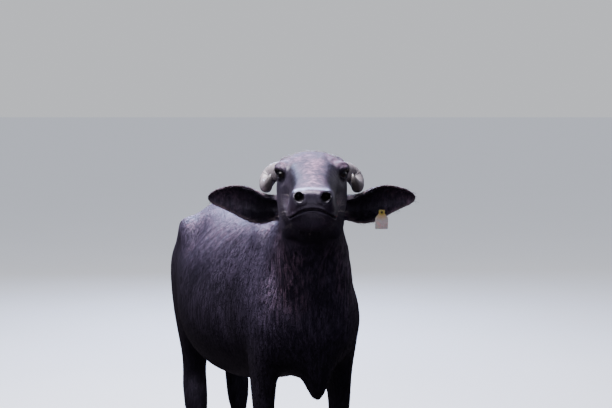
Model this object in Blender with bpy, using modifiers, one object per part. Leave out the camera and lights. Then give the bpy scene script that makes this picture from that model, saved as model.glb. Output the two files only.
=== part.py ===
"""A life-size water buffalo cow, standing with her head raised and turned towards her right.

Metres, +Z up. She faces -Y, her left side is +X, and the floor is Z = 0. The flesh is modelled as
lofts and ovals that are fused into one skin, which thin cuts then part into named pieces. Horns,
ears, eyes, tail, hooves and the ear tag are pieces of their own.
"""

import math
import random

import bmesh
import bpy
import numpy as np
from mathutils import Matrix, Vector
from mathutils.bvhtree import BVHTree

# Overall sizes
GAP = 0.0003  # between pieces that touch
CUT_GAP = 0.00042  # left by cutting a piece back to its neighbour's skin
HORN_GAP = 0.0007  # the same, where a horn grazes the coarse faces behind the brow
EYES_AT = Vector((-0.10, -0.80, 1.48))  # the point midway between the eyes
HEAD_TURN = math.radians(-18)  # towards her right
HEAD_DROP = math.radians(7.5)  # nose below level

# Feet: side, how far back the leg is at its top, and how far its foot steps out and back from there
FEET = {
    "right_fore": (-1, -0.37, 0.000, -0.03),
    "left_fore": (1, -0.37, 0.003, 0.01),
    "right_hind": (-1, 0.69, 0.012, -0.04),
    "left_hind": (1, 0.69, -0.050, 0.14),
}

# Trunk: back, top of the back, floor of the belly, half width, level of the widest place,
# squareness above and below it
TRUNK = [
    (-0.630, 1.10, 0.90, 0.070, 1.00, 2.0, 2.0),
    (-0.585, 1.17, 0.81, 0.130, 1.00, 2.0, 2.0),
    (-0.500, 1.24, 0.755, 0.172, 0.99, 1.9, 2.1),
    (-0.400, 1.285, 0.736, 0.182, 0.97, 1.75, 2.2),
    (-0.280, 1.310, 0.715, 0.196, 0.95, 1.65, 2.2),
    (-0.120, 1.300, 0.666, 0.236, 0.92, 1.7, 2.2),
    (0.080, 1.288, 0.618, 0.288, 0.90, 1.75, 2.15),
    (0.270, 1.285, 0.596, 0.308, 0.90, 1.8, 2.1),
    (0.420, 1.292, 0.630, 0.290, 0.93, 1.8, 2.1),
    (0.560, 1.305, 0.705, 0.264, 1.00, 1.75, 2.1),
    (0.700, 1.280, 0.790, 0.238, 1.01, 1.75, 2.0),
    (0.810, 1.220, 0.870, 0.180, 1.03, 1.8, 2.0),
    (0.885, 1.150, 0.960, 0.105, 1.05, 2.0, 2.0),
]

# Neck: back and height of its crest, back and height of its throat, sideways, half width
NECK = [
    (-0.16, 1.290, -0.40, 0.760, 0.000, 0.158),
    (-0.30, 1.330, -0.590, 0.870, 0.000, 0.154),
    (-0.40, 1.382, -0.638, 1.010, -0.008, 0.134),
    (-0.50, 1.438, -0.660, 1.130, -0.028, 0.112),
    (-0.60, 1.485, -0.690, 1.225, -0.050, 0.098),
    (-0.69, 1.505, -0.750, 1.275, -0.080, 0.086),
]

# Brisket: height, back, half width, half length
BRISKET = [
    (0.960, -0.500, 0.110, 0.110),
    (0.860, -0.520, 0.085, 0.100),
    (0.782, -0.535, 0.056, 0.080),
    (0.726, -0.545, 0.033, 0.055),
    (0.686, -0.548, 0.013, 0.026),
]

# Head: ahead of the eyes, top and bottom from the eyes' level, half width, widening upwards,
# squareness
HEAD = [
    (-0.205, 0.000, -0.215, 0.080, 0.00, 2.2),
    (-0.150, 0.038, -0.240, 0.097, 0.03, 2.4),
    (-0.085, 0.056, -0.246, 0.108, 0.08, 2.5),
    (-0.020, 0.057, -0.224, 0.111, 0.12, 2.5),
    (0.045, 0.048, -0.192, 0.097, 0.06, 2.4),
    (0.120, 0.037, -0.163, 0.079, 0.00, 2.3),
    (0.195, 0.028, -0.139, 0.070, -0.05, 2.2),
    (0.260, 0.023, -0.122, 0.073, -0.08, 2.2),
    (0.310, 0.020, -0.112, 0.071, -0.04, 2.3),
    (0.340, 0.013, -0.098, 0.062, 0.03, 2.4),
    (0.354, -0.002, -0.080, 0.045, 0.05, 2.3),
]

# Legs: height, fore edge and hind edge from the foot, inner and outer side from the midline
FORELEG = [
    (1.060, -0.110, 0.145, 0.060, 0.168),
    (0.960, -0.165, 0.148, 0.060, 0.182),
    (0.880, -0.160, 0.142, 0.066, 0.187),
    (0.800, -0.116, 0.128, 0.086, 0.188),
    (0.730, -0.088, 0.108, 0.098, 0.186),
    (0.650, -0.072, 0.070, 0.106, 0.183),
    (0.550, -0.058, 0.048, 0.108, 0.176),
    (0.460, -0.050, 0.042, 0.106, 0.172),
    (0.405, -0.056, 0.046, 0.097, 0.179),
    (0.360, -0.050, 0.050, 0.098, 0.177),
    (0.315, -0.035, 0.044, 0.107, 0.168),
    (0.225, -0.030, 0.040, 0.109, 0.166),
    (0.165, -0.034, 0.048, 0.104, 0.171),
    (0.128, -0.043, 0.054, 0.096, 0.179),
    (0.092, -0.053, 0.037, 0.095, 0.180),
    (0.058, -0.066, 0.039, 0.0835, 0.1915),
]
HINDLEG = [
    (1.130, -0.210, 0.160, 0.040, 0.228),
    (1.010, -0.235, 0.200, 0.040, 0.255),
    (0.900, -0.225, 0.195, 0.045, 0.254),
    (0.810, -0.195, 0.172, 0.056, 0.244),
    (0.730, -0.125, 0.150, 0.066, 0.228),
    (0.650, -0.055, 0.132, 0.076, 0.210),
    (0.580, -0.008, 0.122, 0.083, 0.196),
    (0.520, 0.010, 0.126, 0.084, 0.192),
    (0.465, 0.006, 0.122, 0.082, 0.194),
    (0.405, -0.006, 0.106, 0.083, 0.193),
    (0.345, -0.014, 0.088, 0.087, 0.188),
    (0.280, -0.022, 0.064, 0.099, 0.174),
    (0.210, -0.026, 0.050, 0.106, 0.165),
    (0.165, -0.032, 0.050, 0.101, 0.169),
    (0.128, -0.042, 0.055, 0.095, 0.175),
    (0.092, -0.053, 0.037, 0.095, 0.178),
    (0.058, -0.066, 0.038, 0.0835, 0.1915),
]
HOCK_LEVEL, HIP_LEVEL = 0.46, 1.02  # a step grows from nothing at the hip or shoulder to full here

# Bony and fleshy places on the body: centre for her left side, radii, and turn about X
BODY_OVALS = [
    ((0.094, -0.255, 1.090), (0.064, 0.130, 0.180), -22),  # shoulder blade
    ((0.138, -0.450, 0.950), (0.050, 0.085, 0.110), 0),  # point of the shoulder
    ((0.186, 0.550, 1.152), (0.070, 0.145, 0.062), 16),  # hip bone
    ((0.160, 0.640, 1.080), (0.092, 0.170, 0.130), 25),  # rump
    ((0.085, 0.820, 1.075), (0.056, 0.078, 0.085), 0),  # pin bone
    ((0.040, 0.470, 0.660), (0.052, 0.105, 0.052), 0),  # udder
]
TEATS = [(0.040, 0.425), (0.036, 0.515)]
TEAT_TOP, TEAT_TIP = 0.630, 0.583
TEAT_RADII = (0.0124, 0.0105, 0.0071)  # at its top, middle and tip

# Hollows and swells: centre for her left side, reach, and the move they make
BODY_SHAPING = [
    ((0.235, 0.390, 1.150), (0.140, 0.120, 0.110), (-0.024, 0.0, -0.004)),  # hollow flank
    ((0.240, 0.730, 1.150), (0.130, 0.120, 0.130), (-0.014, 0.0, -0.004)),  # behind the hip bone
    ((0.215, -0.130, 0.980), (0.120, 0.080, 0.240), (-0.016, 0.0, 0.0)),  # behind the shoulder
    ((0.120, -0.500, 1.100), (0.100, 0.090, 0.120), (-0.020, 0.010, 0.0)),  # before the shoulder
    ((0.000, -0.640, 1.150), (0.040, 0.120, 0.180), (0.0, 0.008, 0.0)),  # groove of the throat
]

# The same on the head, in its own axes: left, ahead, up
HEAD_OVALS = [
    ((0.080, -0.008, 0.012), (0.041, 0.058, 0.028), 0),  # brow
    ((0.072, -0.060, -0.150), (0.034, 0.085, 0.080), 0),  # cheek
    ((0.041, 0.305, -0.012), (0.026, 0.046, 0.028), 0),  # nostril's wing
    ((0.044, 0.262, -0.058), (0.034, 0.068, 0.032), -8),  # upper lip
    ((0.028, 0.270, -0.092), (0.034, 0.064, 0.026), -4),  # chin
    ((0.070, -0.145, -0.004), (0.042, 0.045, 0.036), 0),  # root of the horn
]
HEAD_SHAPING = [
    ((0.104, 0.040, -0.004), (0.036, 0.050, 0.034), (-0.012, -0.004, 0.0)),  # before the eye
    ((0.090, 0.120, -0.060), (0.050, 0.080, 0.050), (-0.010, 0.0, 0.0)),  # below the cheek bone
    ((0.000, 0.352, 0.004), (0.034, 0.030, 0.030), (0.0, -0.004, 0.0)),  # between the nostrils
    ((0.000, 0.325, -0.046), (0.085, 0.050, 0.010), (0.0, -0.007, 0.0)),  # above the lower lip
    ((0.000, 0.200, -0.160), (0.030, 0.090, 0.040), (0.0, 0.0, 0.012)),  # between the jaws
]

# Eyes
EYE = Vector((0.086, 0.004, 0.000))  # left eye: left, ahead, up
EYE_RADIUS = 0.0215
LID = 0.0046  # thickness over the eyeball
GAZE = math.radians(52)  # out from straight ahead
OPENING = (0.0185, 0.0115)  # half width and half height between the lids
OPENING_REACH = (0.004, 0.050)  # of the cut, along the gaze from the eye's middle
OPENING_PINCH = 0.35  # of its height, towards its corners
OPENING_STEPS = 20

# Nostrils and mouth
NOSTRIL = [
    (0.0345, 0.375, -0.004, 0.0130),
    (0.0365, 0.348, -0.003, 0.0125),
    (0.0400, 0.325, -0.002, 0.0110),
    (0.0380, 0.306, -0.004, 0.0070),
]
NOSTRIL_SLIT = [
    (0.0400, 0.352, 0.001, 0.0080),
    (0.0520, 0.338, 0.006, 0.0062),
    (0.0600, 0.318, 0.006, 0.0046),
    (0.0640, 0.302, 0.002, 0.0030),
]
MOUTH_FRONT, MOUTH_CORNER = 0.352, 0.225
MOUTH_HALF_WIDTH = 0.078
MOUTH_LEVEL, MOUTH_DROP = -0.037, 0.050
MOUTH_DEPTH, MOUTH_REACH = 0.016, 0.030  # of the cut, inwards and outwards
MOUTH_OPEN = (0.0009, 0.0072)  # height of the cut at its inner and outer end
MOUTH_STEPS = 20

# Horns: left, ahead, up, half width and half height of the horn's section
HORN = [
    (0.040, -0.100, -0.012, 0.0220, 0.0290),
    (0.078, -0.138, -0.018, 0.0235, 0.0300),
    (0.108, -0.168, -0.026, 0.0245, 0.0310),
    (0.130, -0.186, -0.039, 0.0245, 0.0290),
    (0.144, -0.180, -0.056, 0.0240, 0.0260),
    (0.148, -0.152, -0.067, 0.0230, 0.0220),
    (0.145, -0.120, -0.066, 0.0210, 0.0185),
    (0.139, -0.096, -0.052, 0.0170, 0.0145),
    (0.134, -0.089, -0.035, 0.0110, 0.0090),
    (0.130, -0.094, -0.022, 0.0035, 0.0035),
]

# Ears: stations along the ear, from its root to its tip: left, ahead, up, height of the blade,
# how far round it curls in degrees
EAR = [
    (0.088, -0.112, -0.130, 0.080, 140),
    (0.110, -0.118, -0.132, 0.086, 124),
    (0.135, -0.123, -0.134, 0.092, 106),
    (0.160, -0.128, -0.131, 0.106, 90),
    (0.190, -0.134, -0.123, 0.123, 78),
    (0.220, -0.141, -0.116, 0.121, 70),
    (0.250, -0.148, -0.111, 0.107, 62),
    (0.280, -0.153, -0.109, 0.084, 56),
    (0.305, -0.157, -0.109, 0.065, 52),
    (0.321, -0.159, -0.111, 0.047, 48),
    (0.332, -0.160, -0.112, 0.030, 46),
    (0.338, -0.161, -0.112, 0.012, 45),
]
EAR_THICK = (0.0085, 0.0040)  # at the root and at the tip
EAR_FACES = (0.10, 12)  # outwards, as a share, and down, in degrees
EAR_STEPS = 8  # from its upper edge to its lower one
EAR_INNER_CURL = 0.97  # how far round the inner face goes, as a share of the outer one

# Ear tag, in the left ear
TAG_AT = Vector((0.227, 0.0, -0.153))
TAG_PLATE = (0.042, 0.0022, 0.064)
TAG_DROP = 0.024  # of the plate's middle below the pin
TAG_NECK, TAG_SHOULDER = 0.010, 0.019  # half width at the pin, and how far below it the plate is full
TAG_CORNER = 0.0035
TAG_PIN_RADIUS, TAG_BUTTON_RADIUS = 0.0035, 0.011
TAG_CLEAR = 0.0015  # between the plate and the ear
TAG_PIN_SHOWS, TAG_BUTTON_THICK = 0.0025, 0.0037

# Tail: sideways, back, height, radius
TAIL = [
    (0.000, 0.830, 1.160, 0.040),
    (-0.002, 0.905, 1.125, 0.033),
    (-0.010, 0.948, 1.040, 0.025),
    (-0.032, 0.966, 0.900, 0.020),
    (-0.062, 0.966, 0.740, 0.016),
    (-0.088, 0.960, 0.580, 0.0125),
    (-0.102, 0.956, 0.480, 0.0105),
]
SWITCH_TOP, SWITCH_END = 0.478, 0.235
SWITCH_CORE, SWITCH_RADIUS = 0.0165, 0.034
SWITCH_CORE_ENDS = ((0.0, 0.64), (0.12, 1.0), (0.32, 1.0), (0.50, 0.45))  # down it, and its radius
SWITCH_LOCKS = 24
LOCK_SIZE = (0.014, 0.019, 0.0065)  # least and greatest width, and thickness
LOCK_TAPER = (0.75, 1.0, 0.9, 0.62, 0.10)
LOCK_SWING = 0.012
LOCK_ROOTS, LOCK_TIPS = (0.06, 0.42), (0.52, 0.98)  # first and last lock's, as shares down the switch
GOLDEN_TURN = math.radians(137.5)

# Hooves: two claws to a foot. Height, toe and heel from the foot, and how wide each claw is there
CLAW = [
    (0.000, -0.098, 0.026, 0.056),
    (0.012, -0.097, 0.028, 0.056),
    (0.034, -0.084, 0.032, 0.053),
    (0.057, -0.066, 0.034, 0.049),
]
CLAW_SPREAD = 0.0305
FOOT_MIDDLE = 0.1375
DEWCLAW_OUT = 0.023  # from the foot's middle
DEWCLAW = [  # back from the foot, height, radius
    (0.027, 0.116, 0.0100),
    (0.045, 0.110, 0.0125),
    (0.059, 0.098, 0.0100),
    (0.063, 0.088, 0.0040),
]

# Fineness
SKIN_VOXEL = 0.0085
SOFTENING, TRUNK_SOFTENING = 6, 22  # passes
SOFT_ABOVE = (0.66, 0.14)  # the trunk's extra softening starts here and is full this much higher
SOFT_BEYOND = (0.34, 0.10)  # and starts this far from the head, and is full this much farther
HEAD_TRIANGLES, BODY_TRIANGLES = 2800, 3000
HEAD_REACH = 0.34  # of the finer skin, from a point between the eyes and the nose

PAINTS = {
    "hide": ((0.030, 0.028, 0.032), 0.52),
    "face_hide": ((0.060, 0.050, 0.052), 0.50),
    "horn": ((0.205, 0.195, 0.190), 0.55),
    "hoof": ((0.045, 0.040, 0.038), 0.45),
    "eye": ((0.012, 0.008, 0.007), 0.08),
    "tail_hair": ((0.022, 0.018, 0.018), 0.70),
    "tag": ((0.80, 0.70, 0.36), 0.40),
}


def clear_scene():
    for obj in list(bpy.data.objects):
        bpy.data.objects.remove(obj)


def collection_named(name):
    collection = bpy.data.collections.new(name)
    bpy.context.scene.collection.children.link(collection)
    return collection


def paint_named(name):
    colour, roughness = PAINTS[name]
    material = bpy.data.materials.new(name)
    material.use_nodes = True
    shader = material.node_tree.nodes["Principled BSDF"]
    shader.inputs["Base Color"].default_value = (*colour, 1.0)
    shader.inputs["Roughness"].default_value = roughness
    shader.inputs["Metallic"].default_value = 0.0
    material.diffuse_color = (*colour, 1.0)
    return material


def add_object(name, mesh, collection):
    obj = bpy.data.objects.new(name, mesh)
    collection.objects.link(obj)
    return obj


def from_bmesh(name, shape, collection):
    bmesh.ops.recalc_face_normals(shape, faces=shape.faces)
    mesh = bpy.data.meshes.new(name)
    shape.to_mesh(mesh)
    shape.free()
    return add_object(name, mesh, collection)


def bake(obj):
    """Replaces the object's mesh with what its modifiers make of it."""
    bpy.context.view_layer.update()
    graph = bpy.context.evaluated_depsgraph_get()
    mesh = bpy.data.meshes.new_from_object(obj.evaluated_get(graph))
    obj.modifiers.clear()
    obj.data = mesh


def between(stations, spans):
    """More stations on a smooth curve through the given ones."""
    rows = np.array(stations, float)
    last = len(rows) - 1
    made = []
    for i in range(last):
        before, here = rows[max(i - 1, 0)], rows[i]
        after, beyond = rows[i + 1], rows[min(i + 2, last)]
        for step in range(spans):
            t = step / spans
            made.append(
                0.5 * (2 * here + (after - before) * t
                       + (2 * before - 5 * here + 4 * after - beyond) * t ** 2
                       + (3 * here - before - 3 * after + beyond) * t ** 3)
            )
    made.append(rows[last])
    return made


def rounded(value, squareness):
    return math.copysign(abs(value) ** (2 / squareness), value)


def oval_ring(middle, across, upward, half_width, rise, drop, count, taper=0.0,
              square_top=2.0, square_bottom=2.0):
    """A closed ring of points whose two axes are across and upward."""
    ring = []
    for i in range(count):
        angle = 2 * math.pi * i / count
        c, s = math.cos(angle), math.sin(angle)
        square = square_top if s > 0 else square_bottom
        out = rounded(c, square) * half_width * (1 + taper * s)
        height = rounded(s, square) * (rise if s > 0 else drop)
        ring.append(middle + across * out + upward * height)
    return ring


def loft(name, rings, collection):
    """A closed skin over rings that have the same number of points."""
    shape = bmesh.new()
    rows = [[shape.verts.new(point) for point in ring] for ring in rings]
    count = len(rows[0])
    for low, high in zip(rows, rows[1:]):
        for i in range(count):
            j = (i + 1) % count
            shape.faces.new((low[i], low[j], high[j], high[i]))
    for row in (rows[0], rows[-1]):
        middle = shape.verts.new(sum((v.co for v in row), Vector()) / count)
        for i in range(count):
            shape.faces.new((row[i], row[(i + 1) % count], middle))
    return from_bmesh(name, shape, collection)


def tube(name, stations, spans, count, collection):
    """A round tube along (x, y, z, radius) stations."""
    rows = between(stations, spans)
    points = [Vector(row[:3]) for row in rows]
    reach = (points[-1] - points[0]).normalized()
    aside = Vector((0, 1, 0)) if abs(reach.y) < 0.7 else Vector((0, 0, 1))
    rings = []
    for i, point in enumerate(points):
        along = (points[min(i + 1, len(points) - 1)] - points[max(i - 1, 0)]).normalized()
        across = along.cross(aside).normalized()
        upward = across.cross(along)
        radius = rows[i][3]
        rings.append(oval_ring(point, across, upward, radius, radius, radius, count))
    return loft(name, rings, collection)


def oval(name, centre, radii, collection, turn=Matrix(), segments=24):
    shape = bmesh.new()
    bmesh.ops.create_uvsphere(shape, u_segments=segments, v_segments=segments // 2, radius=1)
    place = Matrix.Translation(centre) @ turn @ Matrix.Diagonal((*radii, 1))
    bmesh.ops.transform(shape, matrix=place, verts=shape.verts)
    return from_bmesh(name, shape, collection)


def prism(name, outline, start, end, along, collection):
    """A block with this outline: (y, z) points if it runs along X, (x, z) if it runs along Y."""
    shape = bmesh.new()
    ends = []
    for depth in (start, end):
        if along == "X":
            corners = [Vector((depth, a, b)) for a, b in outline]
        else:
            corners = [Vector((a, depth, b)) for a, b in outline]
        ends.append([shape.verts.new(corner) for corner in corners])
    for row in ends:
        shape.faces.new(row)
    count = len(outline)
    for i in range(count):
        j = (i + 1) % count
        shape.faces.new((ends[0][i], ends[0][j], ends[1][j], ends[1][i]))
    return from_bmesh(name, shape, collection)


def boolean(obj, operation, others, solver="EXACT"):
    """Cuts, joins or keeps what obj shares with the other objects, which are then removed."""
    tools = bpy.data.collections.new("tools")
    for other in others:
        tools.objects.link(other)
    modifier = obj.modifiers.new(operation, "BOOLEAN")
    modifier.operation = operation
    modifier.solver = solver
    modifier.operand_type = "COLLECTION"
    modifier.collection = tools
    bake(obj)
    for other in others:
        bpy.data.objects.remove(other)
    bpy.data.collections.remove(tools)


def keep_largest(obj):
    """Drops every closed surface but the largest, so that no scrap of a cut is left."""
    shape = bmesh.new()
    shape.from_mesh(obj.data)
    bmesh.ops.remove_doubles(shape, verts=shape.verts, dist=1e-6)
    bmesh.ops.triangulate(shape, faces=shape.faces)
    unseen, islands = set(shape.verts), []
    while unseen:
        island, edge_of_it = set(), [unseen.pop()]
        while edge_of_it:
            vertex = edge_of_it.pop()
            island.add(vertex)
            for edge in vertex.link_edges:
                other = edge.other_vert(vertex)
                if other in unseen:
                    unseen.remove(other)
                    edge_of_it.append(other)
        islands.append(island)
    islands.sort(key=len)
    for island in islands[:-1]:
        bmesh.ops.delete(shape, geom=list(island), context="VERTS")
    shape.to_mesh(obj.data)
    shape.free()


def copy_of(obj, name, collection):
    return add_object(name, obj.data.copy(), collection)


def head_matrix():
    return (
        Matrix.Translation(EYES_AT)
        @ Matrix.Rotation(HEAD_TURN, 4, "Z")
        @ Matrix.Rotation(HEAD_DROP, 4, "X")
    )


def head_axes(left, ahead, up):
    """A point or move given as left, ahead, up in the head's own axes."""
    return Vector((left, -ahead, up))


def place_on_head(obj):
    obj.data.transform(head_matrix())
    return obj


def push(mesh, shaping, matrix):
    """Moves the skin near each place, on both sides, fading to nothing at its reach."""
    points = np.empty(len(mesh.vertices) * 3)
    mesh.vertices.foreach_get("co", points)
    points = points.reshape(-1, 3)
    inverse = np.array(matrix.inverted())
    local = points @ inverse[:3, :3].T + inverse[:3, 3]
    for centre, reach, move in shaping:
        for side in ((1, -1) if abs(centre[0]) > 1e-6 else (1,)):
            flip = np.array((side, 1, 1))
            away = (local - np.array(centre) * flip) / np.array(reach)
            fade = np.clip(1 - (away ** 2).sum(axis=1), 0, None) ** 2
            local += fade[:, None] * np.array(move) * flip
    forward = np.array(matrix)
    points = local @ forward[:3, :3].T + forward[:3, 3]
    mesh.vertices.foreach_set("co", points.ravel())
    mesh.update()


def on_head_axes(shaping):
    return [
        (head_axes(*centre), reach, head_axes(*move)) for centre, reach, move in shaping
    ]


def step_share(height):
    """How much of a leg's step there is at this height: all at the hock, none at the hip."""
    share = min(max((HIP_LEVEL - height) / (HIP_LEVEL - HOCK_LEVEL), 0), 1)
    return share * share * (3 - 2 * share)


def make_trunk(collection):
    rings = []
    for back, top, floor, half, level, square_top, square_bottom in between(TRUNK, 3):
        rings.append(oval_ring(Vector((0, back, level)), Vector((1, 0, 0)), Vector((0, 0, 1)),
                               half, top - level, level - floor, 40,
                               square_top=square_top, square_bottom=square_bottom))
    return loft("trunk", rings, collection)


def make_neck(collection):
    rings = []
    for crest_y, crest_z, throat_y, throat_z, side, half in between(NECK, 4):
        crest, throat = Vector((side, crest_y, crest_z)), Vector((side, throat_y, throat_z))
        middle = crest.lerp(throat, 0.55)
        rings.append(oval_ring(middle, Vector((1, 0, 0)), (crest - throat).normalized(), half,
                               (crest - middle).length, (throat - middle).length, 32,
                               taper=-0.12, square_top=1.8, square_bottom=2.1))
    return loft("neck_flesh", rings, collection)


def make_brisket(collection):
    rings = [
        oval_ring(Vector((0, back, height)), Vector((1, 0, 0)), Vector((0, 1, 0)),
                  half, length, length, 20)
        for height, back, half, length in between(BRISKET, 3)
    ]
    return loft("brisket_flesh", rings, collection)


def make_leg(name, collection):
    side, foot_y, aside, step = FEET[name]
    stations = FORELEG if name.endswith("fore") else HINDLEG
    rings = []
    for height, fore, hind, inner, outer in between(stations, 3):
        share = step_share(height)
        middle = Vector((side * ((inner + outer) / 2 + aside * share),
                         foot_y + step * share + (fore + hind) / 2, height))
        half_length = (hind - fore) / 2
        rings.append(oval_ring(middle, Vector((1, 0, 0)), Vector((0, 1, 0)),
                               (outer - inner) / 2, half_length, half_length, 24,
                               square_top=2.15, square_bottom=2.15))
    return loft(name + "_flesh", rings, collection)


def make_body_ovals(collection):
    made = []
    for number, (centre, radii, turn) in enumerate(BODY_OVALS):
        for side in (1, -1):
            place = Vector((side * centre[0], centre[1], centre[2]))
            made.append(oval(f"body_oval_{number}_{side}", place, radii, collection,
                             Matrix.Rotation(math.radians(turn), 4, "X")))
    return made


def make_teats(collection):
    made = []
    levels = (TEAT_TOP, (TEAT_TOP + TEAT_TIP) / 2, TEAT_TIP)
    for number, (out, back) in enumerate(TEATS):
        for side in (1, -1):
            stations = [(side * out, back, *end) for end in zip(levels, TEAT_RADII)]
            made.append(tube(f"teat_{number}_{side}", stations, 2, 12, collection))
    return made


def make_head_flesh(collection):
    rings = []
    for ahead, top, bottom, half, taper, square in between(HEAD, 4):
        level = (top + bottom) / 2
        rings.append(oval_ring(head_axes(0, ahead, level), Vector((1, 0, 0)), Vector((0, 0, 1)),
                               half, top - level, level - bottom, 36, taper=taper,
                               square_top=square, square_bottom=square))
    made = [loft("head_loft", rings, collection)]
    for number, (centre, radii, turn) in enumerate(HEAD_OVALS):
        for side in (1, -1):
            made.append(oval(f"head_oval_{number}_{side}",
                             head_axes(side * centre[0], centre[1], centre[2]), radii,
                             collection, Matrix.Rotation(math.radians(turn), 4, "X")))
    return [place_on_head(obj) for obj in made]


def fuse(name, pieces, collection):
    """One smooth skin round all the pieces."""
    shape = bmesh.new()
    for piece in pieces:
        shape.from_mesh(piece.data)
        bpy.data.objects.remove(piece)
    mesh = bpy.data.meshes.new(name)
    shape.to_mesh(mesh)
    shape.free()
    obj = add_object(name, mesh, collection)
    remesh = obj.modifiers.new("one skin", "REMESH")
    remesh.mode = "VOXEL"
    remesh.voxel_size = SKIN_VOXEL
    smooth = obj.modifiers.new("soften", "SMOOTH")
    smooth.factor = 0.5
    smooth.iterations = SOFTENING
    bake(obj)
    soften_trunk(obj)
    return obj


def soften_trunk(obj):
    """Smooths the trunk more than the head and the lower legs."""
    group = obj.vertex_groups.new(name="trunk")
    for vertex in obj.data.vertices:
        away = (vertex.co - head_middle()).length
        low = (vertex.co.z - SOFT_ABOVE[0]) / SOFT_ABOVE[1]
        near = (away - SOFT_BEYOND[0]) / SOFT_BEYOND[1]
        group.add([vertex.index], min(max(min(low, near), 0), 1), "REPLACE")
    smooth = obj.modifiers.new("soften trunk", "SMOOTH")
    smooth.factor = 0.5
    smooth.iterations = TRUNK_SOFTENING
    smooth.vertex_group = group.name
    bake(obj)
    obj.vertex_groups.clear()


def head_middle():
    return head_matrix() @ head_axes(0, 0.12, -0.04)


def thin_out(obj, on_head, keep):
    """Lowers the head's or the body's triangles to about this number, and leaves the rest."""
    group = obj.vertex_groups.new(name="thinned")
    chosen = {
        v.index for v in obj.data.vertices
        if ((v.co - head_middle()).length < HEAD_REACH) == on_head
    }
    group.add(list(chosen), 1.0, "REPLACE")
    total, inside = 0, 0
    for face in obj.data.polygons:
        triangles = len(face.vertices) - 2
        total += triangles
        inside += triangles if face.vertices[0] in chosen else 0
    thin = obj.modifiers.new("fewer faces", "DECIMATE")
    thin.ratio = (total - inside + keep) / total
    thin.vertex_group = group.name
    thin.vertex_group_factor = 1.0
    bake(obj)
    obj.vertex_groups.clear()


# Where the whole skin is parted, as outlines in side view (y, z) or front view (x, z)
HEAD_CUT = [(-0.545, 1.70), (-0.600, 1.46), (-0.735, 1.21), (-0.90, 0.95), (-1.6, 0.95), (-1.6, 1.70)]
NECK_CUT = [(-0.545, 1.70), (-0.600, 1.46), (-0.735, 1.21), (-0.90, 0.95), (-0.640, 0.95),
            (-0.560, 1.06), (-0.30, 1.36), (-0.30, 1.70)]
FORELEG_CUT = [(0.030, -0.2), (0.60, -0.2), (0.60, 1.02), (0.185, 1.02), (0.062, 0.80), (0.030, 0.70)]
HINDLEG_CUT = [(0.012, -0.2), (0.60, -0.2), (0.60, 1.07), (0.235, 1.07), (0.085, 0.86), (0.012, 0.70)]
FORELEG_SPAN, HINDLEG_SPAN = (-0.62, -0.215), (0.435, 1.10)
KNEE_CUT, HOCK_CUT = 0.385, 0.470


def side_outline(outline, side):
    return [(side * x, z) for x, z in outline]


def grown(outline, by):
    """The outline with each side moved outwards by this much."""
    count = len(outline)
    points = [Vector(point) for point in outline]
    sides = [(points[(i + 1) % count] - points[i]).normalized() for i in range(count)]
    area = sum(points[i].cross(points[(i + 1) % count]) for i in range(count))
    sense = math.copysign(1, area)
    normals = [Vector((side.y, -side.x)) * sense for side in sides]
    moved = []
    for i in range(count):
        before, after = normals[i - 1], normals[i]
        moved.append(tuple(points[i] + (before + after) * (by / (1 + before.dot(after)))))
    return moved


def part_piece(skin, name, outline, span, along, collection):
    """The stretch of skin inside a block, and the block that will part it from the rest."""
    start, end = min(span), max(span)
    half = GAP / 2
    piece = copy_of(skin, name, collection)
    inside = prism("inside", grown(outline, -half), start + half, end - half, along, collection)
    boolean(piece, "INTERSECT", [inside])
    keep_largest(piece)
    return piece, prism("outside", grown(outline, half), start - half, end + half, along,
                        collection)


def cut_level(leg, name, level, collection):
    """Parts a leg at a level. The leg keeps what is above, and the piece below is a new one."""
    low = copy_of(leg, name, collection)
    reach = [(-2, -1), (2, -1), (2, level - GAP / 2), (-2, level - GAP / 2)]
    boolean(low, "INTERSECT", [prism("below", reach, -2, 2, "X", collection)])
    above = [(-2, level + GAP / 2), (2, level + GAP / 2), (2, 3), (-2, 3)]
    boolean(leg, "INTERSECT", [prism("above", above, -2, 2, "X", collection)])
    keep_largest(low)
    keep_largest(leg)
    return low


def part_skin(skin, collection):
    """Cuts the whole skin into head, neck, torso and the two lengths of each leg."""
    pieces, blocks = {}, []
    wide = (-0.8, 0.8)
    for name, outline in (("head", HEAD_CUT), ("neck", NECK_CUT)):
        pieces[name], block = part_piece(skin, name, outline, wide, "X", collection)
        blocks.append(block)
    for name, (side, _, _, _) in FEET.items():
        fore = name.endswith("fore")
        outline = side_outline(FORELEG_CUT if fore else HINDLEG_CUT, side)
        span = FORELEG_SPAN if fore else HINDLEG_SPAN
        leg, block = part_piece(skin, name + "leg_upper", outline, span, "Y", collection)
        blocks.append(block)
        level = KNEE_CUT if fore else HOCK_CUT
        pieces[name + "leg_upper"] = leg
        pieces[name + "leg_lower"] = cut_level(leg, name + "leg_lower", level, collection)
    skin.name = "torso"
    for block in blocks:
        boolean(skin, "DIFFERENCE", [block])
    keep_largest(skin)
    pieces["torso"] = skin
    return pieces


def eye_centre(side):
    return head_axes(side * EYE.x, EYE.y, EYE.z)


def gaze_axes(side):
    """Along the gaze, across the eye and up it, in the head's axes."""
    along = head_axes(side * math.sin(GAZE), math.cos(GAZE), 0.02).normalized()
    up = Vector((0, 0, 1))
    across = along.cross(up).normalized()
    return along, across, across.cross(along)


def lid_opening(side, collection):
    """An almond-shaped block that opens the lids."""
    along, across, up = gaze_axes(side)
    centre = eye_centre(side)
    half_width, half_height = OPENING
    rings = []
    for reach in OPENING_REACH:
        ring = []
        for i in range(OPENING_STEPS):
            angle = 2 * math.pi * i / OPENING_STEPS
            out, height = math.cos(angle), math.sin(angle)
            pinch = 1 - OPENING_PINCH * out * out
            ring.append(centre + along * reach + across * (half_width * out)
                        + up * (half_height * height * pinch))
        rings.append(ring)
    return place_on_head(loft("lid_opening", rings, collection))


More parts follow.
